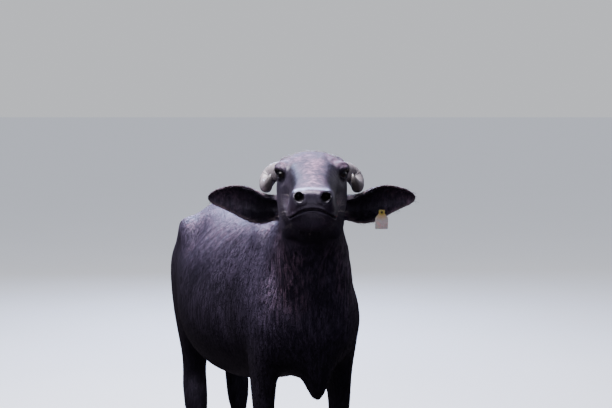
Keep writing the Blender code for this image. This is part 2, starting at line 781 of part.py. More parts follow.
def mouth_slit(collection):
    """A thin wedge that follows the lips from one corner of the mouth to the other."""
    rings = []
    for i in range(MOUTH_STEPS + 1):
        turn = math.pi / 2 * (2 * i / MOUTH_STEPS - 1)
        out, ahead = math.sin(turn), math.cos(turn)
        level = MOUTH_LEVEL - MOUTH_DROP * abs(out) ** 2.4
        place = head_axes(MOUTH_HALF_WIDTH * out,
                          MOUTH_CORNER + (MOUTH_FRONT - MOUTH_CORNER) * ahead ** 0.75, level)
        outward = head_axes(out, ahead + 0.05, 0).normalized()
        inner, outer = place - outward * MOUTH_DEPTH, place + outward * MOUTH_REACH
        inner_rise, outer_rise = (Vector((0, 0, opening / 2)) for opening in MOUTH_OPEN)
        rings.append([inner + inner_rise, outer + outer_rise,
                      outer - outer_rise, inner - inner_rise])
    return place_on_head(loft("mouth_slit", rings, collection))


def finish_head(head, collection):
    """Adds the lids, and opens the eyes, the nostrils and the line of the mouth."""
    lids, cuts = [], [mouth_slit(collection)]
    for side in (1, -1):
        lid_radius = EYE_RADIUS + LID
        lids.append(place_on_head(oval(f"lid_{side}", eye_centre(side), (lid_radius,) * 3,
                                       collection, segments=22)))
        cuts.append(lid_opening(side, collection))
        for stations in (NOSTRIL, NOSTRIL_SLIT):
            path = [(*head_axes(side * left, ahead, up), radius)
                    for left, ahead, up, radius in stations]
            cuts.append(place_on_head(tube(f"nostril_{side}", path, 2, 12, collection)))
    boolean(head, "UNION", lids)
    for cut in cuts:
        boolean(head, "DIFFERENCE", [cut])
    for side in (1, -1):
        socket = place_on_head(oval("socket", eye_centre(side), (EYE_RADIUS + GAP,) * 3,
                                    collection, segments=20))
        boolean(head, "DIFFERENCE", [socket])
    keep_largest(head)


def make_eye(name, side, collection):
    eye = oval(name, eye_centre(side), (EYE_RADIUS,) * 3, collection, segments=20)
    return place_on_head(eye)


def make_horn(name, side, collection):
    """A flattened horn that goes back and out from behind the brow, and curls down and forward."""
    rows = between(HORN, 2)
    points = [head_axes(side * row[0], row[1], row[2]) for row in rows]
    rings = []
    broad = Vector((0, 0, 1))
    for i, point in enumerate(points):
        along = (points[min(i + 1, len(points) - 1)] - points[max(i - 1, 0)]).normalized()
        broad = (broad - along * broad.dot(along)).normalized()
        across = along.cross(broad)
        half, rise = rows[i][3], rows[i][4]
        rings.append(oval_ring(point, across, broad, half, rise, rise, 12,
                               square_top=2.3, square_bottom=2.3))
    return place_on_head(loft(name, rings, collection))


def make_ear(name, side, collection):
    """A cupped blade that opens forward, rolled up at its root."""
    rows = between(EAR, 2)
    rings = []
    outwards, down = EAR_FACES[0], math.radians(EAR_FACES[1])
    forward = head_axes(outwards, math.cos(down), -math.sin(down)).normalized()
    upward = Vector((0, 0, 1))
    upward = (upward - forward * upward.dot(forward)).normalized()
    for number, (left, ahead, up, height, curl) in enumerate(rows):
        share = number / (len(rows) - 1)
        half_angle = math.radians(curl)
        outer = height / (2 * math.sin(min(half_angle, math.pi / 2)))
        thick = EAR_THICK[0] + (EAR_THICK[1] - EAR_THICK[0]) * share
        bottom = outer * (1 - math.cos(half_angle))
        middle = head_axes(left, ahead, up) + forward * (outer - bottom * 0.5)
        ring = []
        for radius, reach in ((outer, half_angle), (outer - thick, -half_angle * EAR_INNER_CURL)):
            for i in range(EAR_STEPS):
                angle = reach * (1 - 2 * i / (EAR_STEPS - 1))
                ring.append(middle + upward * (radius * math.sin(angle))
                            - forward * (radius * math.cos(angle)))
        if side < 0:
            ring = [Vector((-p.x, p.y, p.z)) for p in ring]
        rings.append(ring)
    return place_on_head(loft(name, rings, collection))


def swollen(obj, by, collection):
    """A copy of a closed piece, larger by this much all over."""
    copy = copy_of(obj, obj.name + "_larger", collection)
    points = np.empty(len(copy.data.vertices) * 3)
    normals = np.empty(len(copy.data.vertices) * 3)
    copy.data.vertices.foreach_get("co", points)
    copy.data.vertices.foreach_get("normal", normals)
    copy.data.vertices.foreach_set("co", points + normals * by)
    copy.data.update()
    return copy


def clear_of(obj, larger, collection):
    """Cuts obj back to a neighbour that has been made a gap larger."""
    boolean(obj, "DIFFERENCE", [copy_of(larger, "cutter", collection)])
    keep_largest(obj)


def make_tail(collection):
    return tube("tail", TAIL, 2, 12, collection)


def make_lock(name, points, width, thickness, outward, collection):
    """A flat tapered lock of hair along the points."""
    rings = []
    for i, (point, share) in enumerate(zip(points, LOCK_TAPER)):
        along = (points[min(i + 1, len(points) - 1)] - points[max(i - 1, 0)]).normalized()
        across = along.cross(outward).normalized()
        upward = across.cross(along)
        half_thick = thickness / 2 * share
        rings.append(oval_ring(point, across, upward, width / 2 * share, half_thick, half_thick, 6))
    return loft(name, rings, collection)


def make_switch(collection):
    """The tuft at the end of the tail: a short core and the locks that hang from it."""
    x, y = TAIL[-1][0], TAIL[-1][1]
    length = SWITCH_TOP - SWITCH_END
    core = tube("tail_switch", [
        (x, y, SWITCH_TOP - GAP - share * length, SWITCH_CORE * width)
        for share, width in SWITCH_CORE_ENDS
    ], 2, 12, collection)
    chance = random.Random(7)
    locks = []
    for i in range(SWITCH_LOCKS):
        share = i / (SWITCH_LOCKS - 1)
        angle = i * GOLDEN_TURN + chance.uniform(-0.25, 0.25)
        outward = Vector((math.cos(angle), math.sin(angle), 0))
        root_level = SWITCH_TOP - length * (LOCK_ROOTS[0] * (1 - share) + LOCK_ROOTS[1] * share)
        tip = LOCK_TIPS[0] * (1 - share) + LOCK_TIPS[1] * share + chance.uniform(-0.03, 0.02)
        tip_level = SWITCH_TOP - length * tip
        middle = Vector((x, y, 0))
        spread = SWITCH_RADIUS * (1 - 0.45 * share) * chance.uniform(0.85, 1.0)
        depth = SWITCH_CORE * 0.35
        swing = Vector((-outward.y, outward.x, 0)) * chance.uniform(-LOCK_SWING, LOCK_SWING)
        points = []
        for along in np.linspace(0, 1, len(LOCK_TAPER)):
            out = depth + (spread - depth) * math.sin(math.pi * min(along * 0.78, 0.5))
            out -= spread * 0.35 * max(along - 0.6, 0) / 0.4
            level = root_level + (tip_level - root_level) * along
            points.append(middle + outward * out + swing * along + Vector((0, 0, level)))
        width = chance.uniform(*LOCK_SIZE[:2])
        locks.append(make_lock(f"lock_{i}", points, width, LOCK_SIZE[2], outward, collection))
    boolean(core, "UNION", locks)
    keep_largest(core)
    return core


def make_claws(foot, collection):
    """The two hooves of a foot, flat under the sole."""
    side, foot_y, aside, step = FEET[foot]
    made = []
    for which, spread in (("inner", -1), ("outer", 1)):
        rings = []
        for height, toe, heel, width in CLAW:
            x = side * (FOOT_MIDDLE + aside + spread * CLAW_SPREAD)
            middle = Vector((x, foot_y + step + (toe + heel) / 2, height))
            half = (heel - toe) / 2
            rings.append(oval_ring(middle, Vector((1, 0, 0)), Vector((0, 1, 0)), width / 2,
                                   half, half, 12, square_top=2.5, square_bottom=2.2))
        made.append(loft(f"{foot}_hoof_{which}", rings, collection))
    return made


def make_dewclaws(foot, collection):
    side, foot_y, aside, step = FEET[foot]
    made = []
    for which, spread in (("inner", -1), ("outer", 1)):
        x = side * (FOOT_MIDDLE + aside + spread * DEWCLAW_OUT)
        stations = [(x, foot_y + step + back, height, radius) for back, height, radius in DEWCLAW]
        made.append(tube(f"{foot}_dewclaw_{which}", stations, 1, 8, collection))
    return made


def farthest(tree, middle, width, height, towards):
    """The ear's foremost or hindmost place behind or before a patch, as a distance ahead."""
    hits = []
    for across in np.linspace(-0.5, 0.5, 9):
        for up in np.linspace(-0.5, 0.5, 13):
            start = Vector((middle.x + across * width, -0.6 * towards, middle.z + up * height))
            hit = tree.ray_cast(start, Vector((0, towards, 0)))[0]
            if hit:
                hits.append(-hit.y)
    return max(hits) if towards > 0 else min(hits)


def make_tag(ear, collection):
    """A plastic plate before the ear, its pin through the ear, and a button behind."""
    shape = bmesh.new()
    shape.from_mesh(ear.data)
    bmesh.ops.transform(shape, matrix=head_matrix().inverted(), verts=shape.verts)
    tree = BVHTree.FromBMesh(shape)
    shape.free()
    middle = TAG_AT - Vector((0, 0, TAG_DROP))
    front = farthest(tree, middle, TAG_PLATE[0], TAG_PLATE[2], 1)
    back = farthest(tree, TAG_AT, 2 * TAG_BUTTON_RADIUS, 2 * TAG_BUTTON_RADIUS, -1)
    face = front + TAG_PLATE[1] / 2 + TAG_CLEAR
    pin_end = back - GAP
    hole = rod("hole", TAG_AT, front + 0.05, pin_end - 0.05, TAG_PIN_RADIUS + GAP, collection)
    boolean(ear, "DIFFERENCE", [place_on_head(hole)])
    keep_largest(ear)
    plate = make_plate("ear_tag", face, collection)
    pin = rod("pin", TAG_AT, face + TAG_PIN_SHOWS, pin_end, TAG_PIN_RADIUS, collection)
    boolean(plate, "UNION", [pin])
    keep_largest(plate)
    button = rod("ear_tag_button", TAG_AT, pin_end - GAP, pin_end - GAP - TAG_BUTTON_THICK,
                 TAG_BUTTON_RADIUS, collection)
    return [place_on_head(plate), place_on_head(button)]


def rod(name, at, ahead_start, ahead_end, radius, collection):
    """A round rod that runs fore and aft in the head's axes."""
    shape = bmesh.new()
    bmesh.ops.create_cone(shape, cap_ends=True, segments=18, radius1=radius, radius2=radius,
                          depth=abs(ahead_start - ahead_end))
    place = Matrix.Translation((at.x, -(ahead_start + ahead_end) / 2, at.z))
    bmesh.ops.transform(shape, matrix=place @ Matrix.Rotation(math.pi / 2, 4, "X"),
                        verts=shape.verts)
    return from_bmesh(name, shape, collection)


def make_plate(name, face, collection):
    """The tag's plate, narrow at its pin, with sloping shoulders and a square foot."""
    half, thick = TAG_PLATE[0] / 2, TAG_PLATE[1] / 2
    top = TAG_AT.z - TAG_DROP + TAG_PLATE[2] / 2
    sides = [(TAG_NECK, top), (TAG_NECK, TAG_AT.z - TAG_NECK / 2),
             (half, TAG_AT.z - TAG_SHOULDER), (half, top - TAG_PLATE[2])]
    outline = sides + [(-out, level) for out, level in reversed(sides)]
    shape = bmesh.new()
    front, back = [
        [shape.verts.new((TAG_AT.x + out, depth - face, level)) for out, level in outline]
        for depth in (-thick, thick)
    ]
    shape.faces.new(front)
    shape.faces.new(back)
    for i, corner in enumerate(front):
        after = (i + 1) % len(front)
        shape.faces.new((corner, front[after], back[after], back[i]))
    corners = [e for e in shape.edges if abs((e.verts[0].co - e.verts[1].co).y) > thick]
    bmesh.ops.bevel(shape, geom=corners, offset=TAG_CORNER, segments=3, affect="EDGES", profile=0.5)
    return from_bmesh(name, shape, collection)


def centre_on_floor(objects):
    """Puts the origin on the floor under the middle of the whole animal."""
    corners = [v.co for obj in objects for v in obj.data.vertices]
    middle = Vector((
        (min(c.x for c in corners) + max(c.x for c in corners)) / 2,
        (min(c.y for c in corners) + max(c.y for c in corners)) / 2,
        min(c.z for c in corners),
    ))
    for obj in objects:
        obj.data.transform(Matrix.Translation(-middle))
    print("moved by", tuple(round(-value, 4) for value in middle))


def paint_of(name):
    if "hoof" in name or "dewclaw" in name:
        return "hoof"
    if name.startswith("horn"):
        return "horn"
    if name.startswith("eye"):
        return "eye"
    if name.startswith("ear_tag"):
        return "tag"
    if name == "tail_switch":
        return "tail_hair"
    return "face_hide" if name == "head" else "hide"


def build():
    clear_scene()
    animal = collection_named("water_buffalo")
    flesh = [make_trunk(animal), make_neck(animal), make_brisket(animal)]
    flesh += [make_leg(name, animal) for name in FEET]
    flesh += make_body_ovals(animal) + make_teats(animal) + make_head_flesh(animal)
    skin = fuse("skin", flesh, animal)
    push(skin.data, BODY_SHAPING, Matrix())
    push(skin.data, on_head_axes(HEAD_SHAPING), head_matrix())
    thin_out(skin, False, BODY_TRIANGLES)
    thin_out(skin, True, HEAD_TRIANGLES)
    larger_skin = swollen(skin, CUT_GAP, animal)
    skin_for_horns = swollen(skin, HORN_GAP, animal)
    pieces = part_skin(skin, animal)
    finish_head(pieces["head"], animal)

    parts = list(pieces.values())
    for side, word in ((1, "left"), (-1, "right")):
        parts.append(make_eye("eye_" + word, side, animal))
        horn = make_horn("horn_" + word, side, animal)
        larger_horn = swollen(horn, CUT_GAP, animal)
        clear_of(horn, skin_for_horns, animal)
        ear = make_ear("ear_" + word, side, animal)
        clear_of(ear, larger_skin, animal)
        clear_of(ear, larger_horn, animal)
        bpy.data.objects.remove(larger_horn)
        parts += [horn, ear]
        if side == 1:
            parts += make_tag(ear, animal)
    tail = make_tail(animal)
    clear_of(tail, larger_skin, animal)
    parts += [tail, make_switch(animal)]
    for foot in FEET:
        for claw in make_claws(foot, animal) + make_dewclaws(foot, animal):
            clear_of(claw, larger_skin, animal)
            parts.append(claw)
    bpy.data.objects.remove(larger_skin)
    bpy.data.objects.remove(skin_for_horns)

    centre_on_floor(parts)
    paints = {}
    for part in parts:
        name = paint_of(part.name)
        if name not in paints:
            paints[name] = paint_named(name)
        part.data.materials.clear()
        part.data.materials.append(paints[name])
        part.data.shade_smooth()
    print("triangles", {p.name: len(p.data.polygons) for p in parts})


build()
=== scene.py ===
import math

import bpy
import numpy as np
from mathutils import Matrix, Vector
from mathutils.bvhtree import BVHTree


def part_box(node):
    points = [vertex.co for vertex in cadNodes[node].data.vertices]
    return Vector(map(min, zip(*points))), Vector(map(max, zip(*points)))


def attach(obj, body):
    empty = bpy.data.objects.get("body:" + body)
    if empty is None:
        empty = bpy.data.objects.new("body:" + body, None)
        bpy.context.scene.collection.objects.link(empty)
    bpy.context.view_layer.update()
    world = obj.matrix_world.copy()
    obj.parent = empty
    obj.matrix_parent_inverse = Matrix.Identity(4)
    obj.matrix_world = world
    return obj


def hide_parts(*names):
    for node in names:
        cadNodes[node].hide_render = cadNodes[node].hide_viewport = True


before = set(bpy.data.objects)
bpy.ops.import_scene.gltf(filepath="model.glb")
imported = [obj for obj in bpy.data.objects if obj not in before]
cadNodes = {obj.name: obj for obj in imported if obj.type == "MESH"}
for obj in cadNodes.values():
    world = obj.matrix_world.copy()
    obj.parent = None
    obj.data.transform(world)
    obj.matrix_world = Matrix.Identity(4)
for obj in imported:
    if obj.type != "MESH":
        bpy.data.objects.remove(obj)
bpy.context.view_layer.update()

print("frame loaded,", len(cadNodes), "nodes")


# Small helpers for working in object and edit mode

def deselectAll():
    if bpy.context.object and bpy.context.object.mode != "OBJECT":
        bpy.ops.object.mode_set(mode="OBJECT")
    bpy.ops.object.select_all(action="DESELECT")


def workOn(piece):
    deselectAll()
    piece.select_set(True)
    bpy.context.view_layer.objects.active = piece


def editAll(piece):
    workOn(piece)
    bpy.ops.object.mode_set(mode="EDIT")
    bpy.ops.mesh.select_all(action="SELECT")


def objectMode():
    bpy.ops.object.mode_set(mode="OBJECT")


def applyModifier(piece, kind, **settings):
    workOn(piece)
    modifier = piece.modifiers.new(kind.title(), kind)
    for key, value in settings.items():
        setattr(modifier, key, value)
    bpy.ops.object.modifier_apply(modifier=modifier.name)


def newPiece(name, mesh):
    piece = bpy.data.objects.new(name, mesh)
    bpy.context.scene.collection.objects.link(piece)
    return piece


def copyNode(nodeName, pieceName):
    # the frame's own node is never touched, and its loose triangles are merged in the copy
    mesh = cadNodes[nodeName].data.copy()
    mesh.materials.clear()
    piece = newPiece(pieceName, mesh)
    editAll(piece)
    bpy.ops.mesh.remove_doubles(threshold=0.00002)
    bpy.ops.mesh.customdata_custom_splitnormals_clear()
    objectMode()
    return piece


def joinPieces(pieces, name):
    deselectAll()
    for piece in pieces:
        piece.select_set(True)
    bpy.context.view_layer.objects.active = pieces[0]
    bpy.ops.object.join()
    pieces[0].name = name
    return pieces[0]


def smoothShade(piece):
    workOn(piece)
    bpy.ops.object.shade_smooth()


def faceOutward(piece):
    editAll(piece)
    bpy.ops.mesh.normals_make_consistent(inside=False)
    objectMode()


def relax(piece, turns, groupName="", chosen=None):
    # smooths the whole piece, or only the points of a group
    if chosen is not None:
        group = piece.vertex_groups.new(name=groupName)
        group.add(np.flatnonzero(chosen).tolist(), 1.0, "REPLACE")
    applyModifier(piece, "SMOOTH", factor=0.5, iterations=turns, vertex_group=groupName)


def bevelEdges(piece, width, segments):
    applyModifier(piece, "BEVEL", width=width, segments=segments, limit_method="ANGLE",
                  angle_limit=math.radians(40))


def finishPiece(piece, material, replaced=()):
    piece.data.materials.clear()
    piece.data.materials.append(material)
    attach(piece, "root")
    if replaced:
        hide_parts(*replaced)


def readPoints(piece):
    points = np.empty(len(piece.data.vertices) * 3)
    piece.data.vertices.foreach_get("co", points)
    return points.reshape(-1, 3)


def writePoints(piece, points):
    piece.data.vertices.foreach_set("co", points.reshape(-1))
    piece.data.update()


def readNormals(piece):
    normals = np.empty(len(piece.data.vertices) * 3)
    piece.data.vertex_normals.foreach_get("vector", normals)
    return normals.reshape(-1, 3)


def writeValues(piece, name, values):
    layer = piece.data.attributes.get(name) or piece.data.attributes.new(name, "FLOAT", "POINT")
    layer.data.foreach_set("value", np.asarray(values, np.float32))


def readValues(piece, name):
    values = np.empty(len(piece.data.vertices))
    piece.data.attributes[name].data.foreach_get("value", values)
    return values


def ramp(low, high, values):
    share = np.clip((values - low) / (high - low), 0, 1)
    return share * share * (3 - 2 * share)


def window(values, start, full, fall, end):
    # rises from start to full and falls again from fall to end
    return ramp(start, full, values) * (1 - ramp(fall, end, values))


def hump(values, width):
    return np.exp(-(values / width) ** 2)


def length(vectors):
    return np.sqrt((vectors ** 2).sum(axis=-1))


def unit(vectors):
    return vectors / np.maximum(length(vectors), 1e-9)[..., None]


def squared(vectors, axes):
    # each vector turned square to its axis
    return unit(vectors - axes * (vectors * axes).sum(axis=1)[:, None])


def waves(points, scale, seed):
    # a smooth, seeded ripple between about -1 and 1
    rng = np.random.default_rng(seed)
    total = np.zeros(len(points))
    for turn in range(5):
        direction = unit(rng.normal(size=3)) * scale * (0.6 + 0.35 * turn)
        total += np.sin(points @ direction + rng.uniform(0, 6.28)) / (1 + 0.4 * turn)
    return total / 2.6


def middleOf(nodeName):
    low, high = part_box(nodeName)
    return (low + high) / 2


# The head's own axes: left, ahead and up, measured from between the eyes

headSetup = {
    "turn": -18,  # degrees, towards her right
    "drop": 7.5,  # degrees, nose below level
    "eyeAside": 0.086,
    "eyeAhead": 0.004,
    "gaze": 52,  # degrees, out from straight ahead
}
bothSides = ((1, "Left"), (-1, "Right"))


def headAxes():
    swung = Matrix.Rotation(math.radians(headSetup["turn"]), 3, "Z")
    dropped = Matrix.Rotation(math.radians(headSetup["drop"]), 3, "X")
    axes = np.array(swung @ dropped) * np.array([1, -1, 1])
    between = np.array((middleOf("eye_left") + middleOf("eye_right")) / 2)
    return axes, between - axes @ np.array([0, headSetup["eyeAhead"], 0])


headTurn, headOrigin = headAxes()


def toHead(points):
    return (points - headOrigin) @ headTurn


def fromHead(places):
    return places @ headTurn.T + headOrigin


# Materials

def setInputs(tree, node, inputs):
    for key, value in inputs.items():
        if isinstance(value, bpy.types.NodeSocket):
            tree.links.new(value, node.inputs[key])
        else:
            node.inputs[key].default_value = value


def addNode(tree, kind, inputs=None, **settings):
    node = tree.nodes.new(kind)
    for key, value in settings.items():
        setattr(node, key, value)
    setInputs(tree, node, inputs or {})
    return node


def newMaterial(name, values):
    material = bpy.data.materials.new(name)
    material.use_nodes = True
    tree = material.node_tree
    shader = tree.nodes["Principled BSDF"]
    setInputs(tree, shader, values)
    return material, tree, shader


def objectPlace(tree, scale=(1, 1, 1), turn=(0, 0, 0)):
    place = addNode(tree, "ShaderNodeTexCoord").outputs["Object"]
    return addNode(tree, "ShaderNodeMapping", {"Vector": place, "Scale": scale, "Rotation": turn}).outputs[0]


def noise(tree, vector, scale, detail=3.0, roughness=0.55, distortion=0.0):
    return addNode(tree, "ShaderNodeTexNoise", {
        "Vector": vector, "Scale": scale, "Detail": detail, "Roughness": roughness,
        "Distortion": distortion,
    }).outputs["Fac"]


def spread(tree, value, low, high, toLow=0.0, toHigh=1.0):
    return addNode(tree, "ShaderNodeMapRange", {
        "Value": value, "From Min": low, "From Max": high, "To Min": toLow, "To Max": toHigh,
    }).outputs["Result"]


def maths(tree, operation, first, second, clamp=False):
    inputs = {0: first, 1: second}
    return addNode(tree, "ShaderNodeMath", inputs, operation=operation, use_clamp=clamp).outputs[0]


def times(tree, first, second, clamp=False):
    return maths(tree, "MULTIPLY", first, second, clamp)


def plus(tree, first, second):
    return maths(tree, "ADD", first, second)


def painted(tree, name):
    return addNode(tree, "ShaderNodeAttribute", attribute_name=name).outputs["Fac"]


def blendValues(tree, share, first, second):
    return addNode(tree, "ShaderNodeMix", {"Factor": share, 2: first, 3: second}).outputs[0]


def blendColours(tree, share, first, second):
    inputs = {"Factor": share, 6: first, 7: second}
    return addNode(tree, "ShaderNodeMix", inputs, data_type="RGBA").outputs[2]


def layerColours(tree, colour, layers):
    # each layer is a value, where it starts, where it is full, and the layer's colour
    for value, start, full, over in layers:
        colour = blendColours(tree, spread(tree, value, start, full), colour, over)
    return colour


def cells(tree, scale, feature):
    inputs = {"Vector": objectPlace(tree), "Scale": scale}
    return addNode(tree, "ShaderNodeTexVoronoi", inputs, feature=feature).outputs["Distance"]


def awayFrom(tree, place):
    inputs = {0: addNode(tree, "ShaderNodeTexCoord").outputs["Object"], 1: tuple(place)}
    return addNode(tree, "ShaderNodeVectorMath", inputs, operation="SUBTRACT").outputs[0]


def measured(tree, vector, axis):
    inputs = {0: vector, 1: tuple(axis)}
    return addNode(tree, "ShaderNodeVectorMath", inputs, operation="DOT_PRODUCT").outputs["Value"]


def fromMiddle(tree, across, rise):
    squares = [maths(tree, "POWER", value, 2) for value in (across, rise)]
    return maths(tree, "SQRT", plus(tree, *squares), 0)


def bumped(tree, height, distance, strength=1.0, under=None):
    inputs = {"Height": height, "Distance": distance, "Strength": strength}
    if under is not None:
        inputs["Normal"] = under
    return addNode(tree, "ShaderNodeBump", inputs).outputs["Normal"]


hideLook = {
    "shine": {"Specular IOR Level": 0.32, "Specular Tint": (0.80, 0.76, 1.0, 1.0)},
    "slate": (0.0082, 0.0064, 0.0128, 1),
    "worn": (0.0400, 0.0310, 0.0540, 1),  # where the coat is rubbed thin, and painted glints of hair clumps
    # pale dust, which also serves as painted light on top-facing places and as painted highlights on the face
    "dust": (0.262, 0.152, 0.226, 1),
    "black": (0.0035, 0.003, 0.0035, 1),  # painted shade in the nostrils, ear cups, eye hollows, between the lips, low on the flanks and on the legs; also the nose pad's own dark colour
    "pink": (0.38, 0.27, 0.28, 1),  # rims of the ears
    "streaks": (330, 330, 26),  # hair that runs down the side
    "backStreaks": (330, 30, 330),  # hair that runs along the back
    "rubbed": (105, 105, 13),  # long pale rubs that slant down and back, also painted glints of hair clumps
    "slant": 0.55,
    "patches": 7,
    "freckles": 120,
    "blotches": 38,
    "grain": 390,
    "pebbles": 330,  # on the wet nose
    "wrinkles": 26,
    "dryRoughness": (0.34, 0.66),
    "faceRougher": 0.28,
    "deepSmoother": 0.42,
    "leastRoughness": 0.31,  # below about 0.28 the shading breaks into hard lines
    "wetRoughness": 0.30,
}


def makeHide(name, isCoat=False):
    material, tree, shader = newMaterial(name, hideLook["shine"])
    dust, deep, wet, face = [painted(tree, key) for key in ("dust", "deep", "wet", "face")]
    streaks, backStreaks = [
        noise(tree, objectPlace(tree, hideLook[key]), 1, 2) for key in ("streaks", "backStreaks")
    ]
    hair = blendValues(tree, painted(tree, "level"), streaks, backStreaks)
    patches = noise(tree, objectPlace(tree), hideLook["patches"], 5, 0.6)
    freckles = noise(tree, objectPlace(tree), hideLook["freckles"], 3, 0.6)
    blotches = noise(tree, objectPlace(tree, (1, 1, 0.6)), hideLook["blotches"], 4, 0.65, 0.6)
    rubbed = noise(tree, objectPlace(tree, hideLook["rubbed"], (hideLook["slant"], 0, 0)), 1, 3, 0.6, 0.4)
    rubAndGlintShare = blendValues(tree, face, spread(tree, rubbed, 0.44, 0.60, 0.15, 1.9), 1.0)

    # thin, rubbed hide with painted glints of hair clumps shows between the streaks of hair, dust with
    # painted light lies over both, and painted shade goes over all
    thin = plus(tree, times(tree, patches, 0.6), times(tree, hair, 0.6))
    worn = times(tree, spread(tree, thin, 0.45, 0.85), rubAndGlintShare, clamp=True)
    colour = blendColours(tree, worn, hideLook["slate"], hideLook["worn"])
    speckled = times(tree, spread(tree, freckles, 0.38, 0.62, 0.45, 1.35),
                     spread(tree, blotches, 0.40, 0.61, 0.20, 1.30))
    dustyAndLit = times(tree, dust, times(tree, speckled, rubAndGlintShare), clamp=True)
    for share, over in ((dustyAndLit, "dust"), (painted(tree, "rim"), "pink"), (deep, "black")):
        colour = blendColours(tree, share, colour, hideLook[over])

    powdery = plus(tree, times(tree, dust, 0.5), patches)
    dry = spread(tree, powdery, 0.2, 1.2, *hideLook["dryRoughness"])
    dry = plus(tree, dry, times(tree, face, hideLook["faceRougher"]))
    dry = times(tree, dry, spread(tree, deep, 0.0, 0.7, 1.0, hideLook["deepSmoother"]))
    dry = maths(tree, "MAXIMUM", dry, hideLook["leastRoughness"])
    roughness = blendValues(tree, wet, dry, hideLook["wetRoughness"])
    setInputs(tree, shader, {"Base Color": colour, "Roughness": roughness})
    if isCoat:
        return material

    # folds, then the grain of the hide, then the lie of the hair, each finer than the last
    hairy = painted(tree, "hairy")
    folds = noise(tree, objectPlace(tree, (1, 1, 0.35)), hideLook["wrinkles"], 4, 0.6, 0.2)
    grain = spread(tree, cells(tree, hideLook["grain"], "DISTANCE_TO_EDGE"), 0.0, 0.22)
    pebbles = cells(tree, hideLook["pebbles"], "SMOOTH_F1")
    normal = bumped(tree, folds, 0.003, 0.4)
    normal = bumped(tree, times(tree, rubbed, hairy), 0.008, 0.6, normal)
    normal = bumped(tree, grain, 0.00025, 0.4, normal)
    normal = bumped(tree, times(tree, hair, hairy), 0.0022, 0.8, normal)
    normal = bumped(tree, times(tree, pebbles, wet), 0.0006, 0.5, normal)
    setInputs(tree, shader, {"Normal": normal})
    return material


# The skin: the flesh nodes fused, a coarse grid on the body and a fine one on the head

skinSetup = {
    "bodyGrid": 0.0126,
    "headGrid": 0.0047,
    "bodySwell": 0.0004,  # closes the gaps between the nodes before they fuse
    "headSwell": 0.0017,  # closes the mouth too, which is cut again below
    "earSwell": 0.0030,  # so that the thin blade isn't lost; it is drawn back afterwards
    "coatDepth": 0.0016,
    "intoHooves": 0.022,
    "joinAt": (0, -0.475, 1.24),  # middle of the neck, where the two grids meet
    "joinFacing": (0, -0.863, 0.505),
    "joinGap": 0.006,
    "eyeReach": 0.034,
    "muzzleAhead": 0.235,
    "earsFrom": 0.118,  # how far aside the ears leave the head
    "earsBehind": -0.05,  # and how far ahead they reach
    "earReach": 0.012,
    "trunkFrom": (-0.34, 0.80),  # how far back and up the trunk's facets are smoothed
    "hipAt": (0.190, 0.600, 1.155),
    "hipReach": 0.12,
    # how often each stretch is smoothed
    "bodyTurns": 4,
    "trunkTurns": 26,
    "hipTurns": 24,
    "headTurns": 3,
    "earTurns": 2,
}
legNodes = [f"{side}_{leg}leg_{part}" for side in ("left", "right")
            for leg in ("fore", "hind") for part in ("upper", "lower")]
headNodes = ["head", "ear_left", "ear_right"]
fleshNodes = ["torso", "neck", "tail"] + headNodes + legNodes


def reachIntoHoof(leg):
    # the end goes down inside the hooves, so that the rounding is hidden there
    points = readPoints(leg)
    foot = points[:, 2] < points[:, 2].min() + 0.003
    narrower = (points[foot].mean(axis=0) - points[foot]) * 0.12
    points[foot] += narrower - [0, 0, skinSetup["intoHooves"]]
    writePoints(leg, points)


def fuseNodes(names, pieceName, swell, grid):
    copies = []
    for name in names:
        copy = copyNode(name, name + "Copy")
        if name.endswith("leg_lower"):
            reachIntoHoof(copy)
        thick = skinSetup["earSwell"] if name.startswith("ear_") else swell
        applyModifier(copy, "DISPLACE", strength=thick, mid_level=0)
        copies.append(copy)
    fused = joinPieces(copies, pieceName)
    applyModifier(fused, "REMESH", mode="VOXEL", voxel_size=grid)
    return fused


def trimNeck(piece, keepHead):
    # leaves one side of a cut through the neck, open at the cut
    facing = Vector(skinSetup["joinFacing"]).normalized()
    place = Vector(skinSetup["joinAt"]) + facing * skinSetup["joinGap"] * (1 if keepHead else -1)
    editAll(piece)
    bpy.ops.mesh.bisect(plane_co=place, plane_no=facing, use_fill=False,
                        clear_inner=keepHead, clear_outer=not keepHead)
    objectMode()


def refine(piece, chosen, cuts):
    # chosen picks faces by their centres, given on the head's axes
    mesh = piece.data
    centres = np.empty(len(mesh.polygons) * 3)
    mesh.polygons.foreach_get("center", centres)
    picked = chosen(toHead(centres.reshape(-1, 3)))
    workOn(piece)
    bpy.ops.object.mode_set(mode="EDIT")
    bpy.context.tool_settings.mesh_select_mode = (False, False, True)
    bpy.ops.mesh.select_all(action="DESELECT")
    objectMode()
    mesh.polygons.foreach_set("select", picked)
    bpy.ops.object.mode_set(mode="EDIT")
    bpy.ops.mesh.subdivide(number_cuts=cuts, smoothness=0)
    objectMode()


def eyeAxes(side):
    gaze = math.radians(headSetup["gaze"])
    along = unit(np.array([side * math.sin(gaze), math.cos(gaze), 0.02]))
    outward = np.array([side * math.cos(gaze), -math.sin(gaze), 0])
    upward = unit(np.array([0, 0, 1]) - along * along[2])
    centre = np.array([side * headSetup["eyeAside"], headSetup["eyeAhead"], 0])
    return centre, along, outward, upward


def aroundEye(places, side):
    # how far out and up from the eye's middle each place is, and how far off in all
    centre, _, outward, upward = eyeAxes(side)
    away = places - centre
    return away @ outward, away @ upward, length(away)


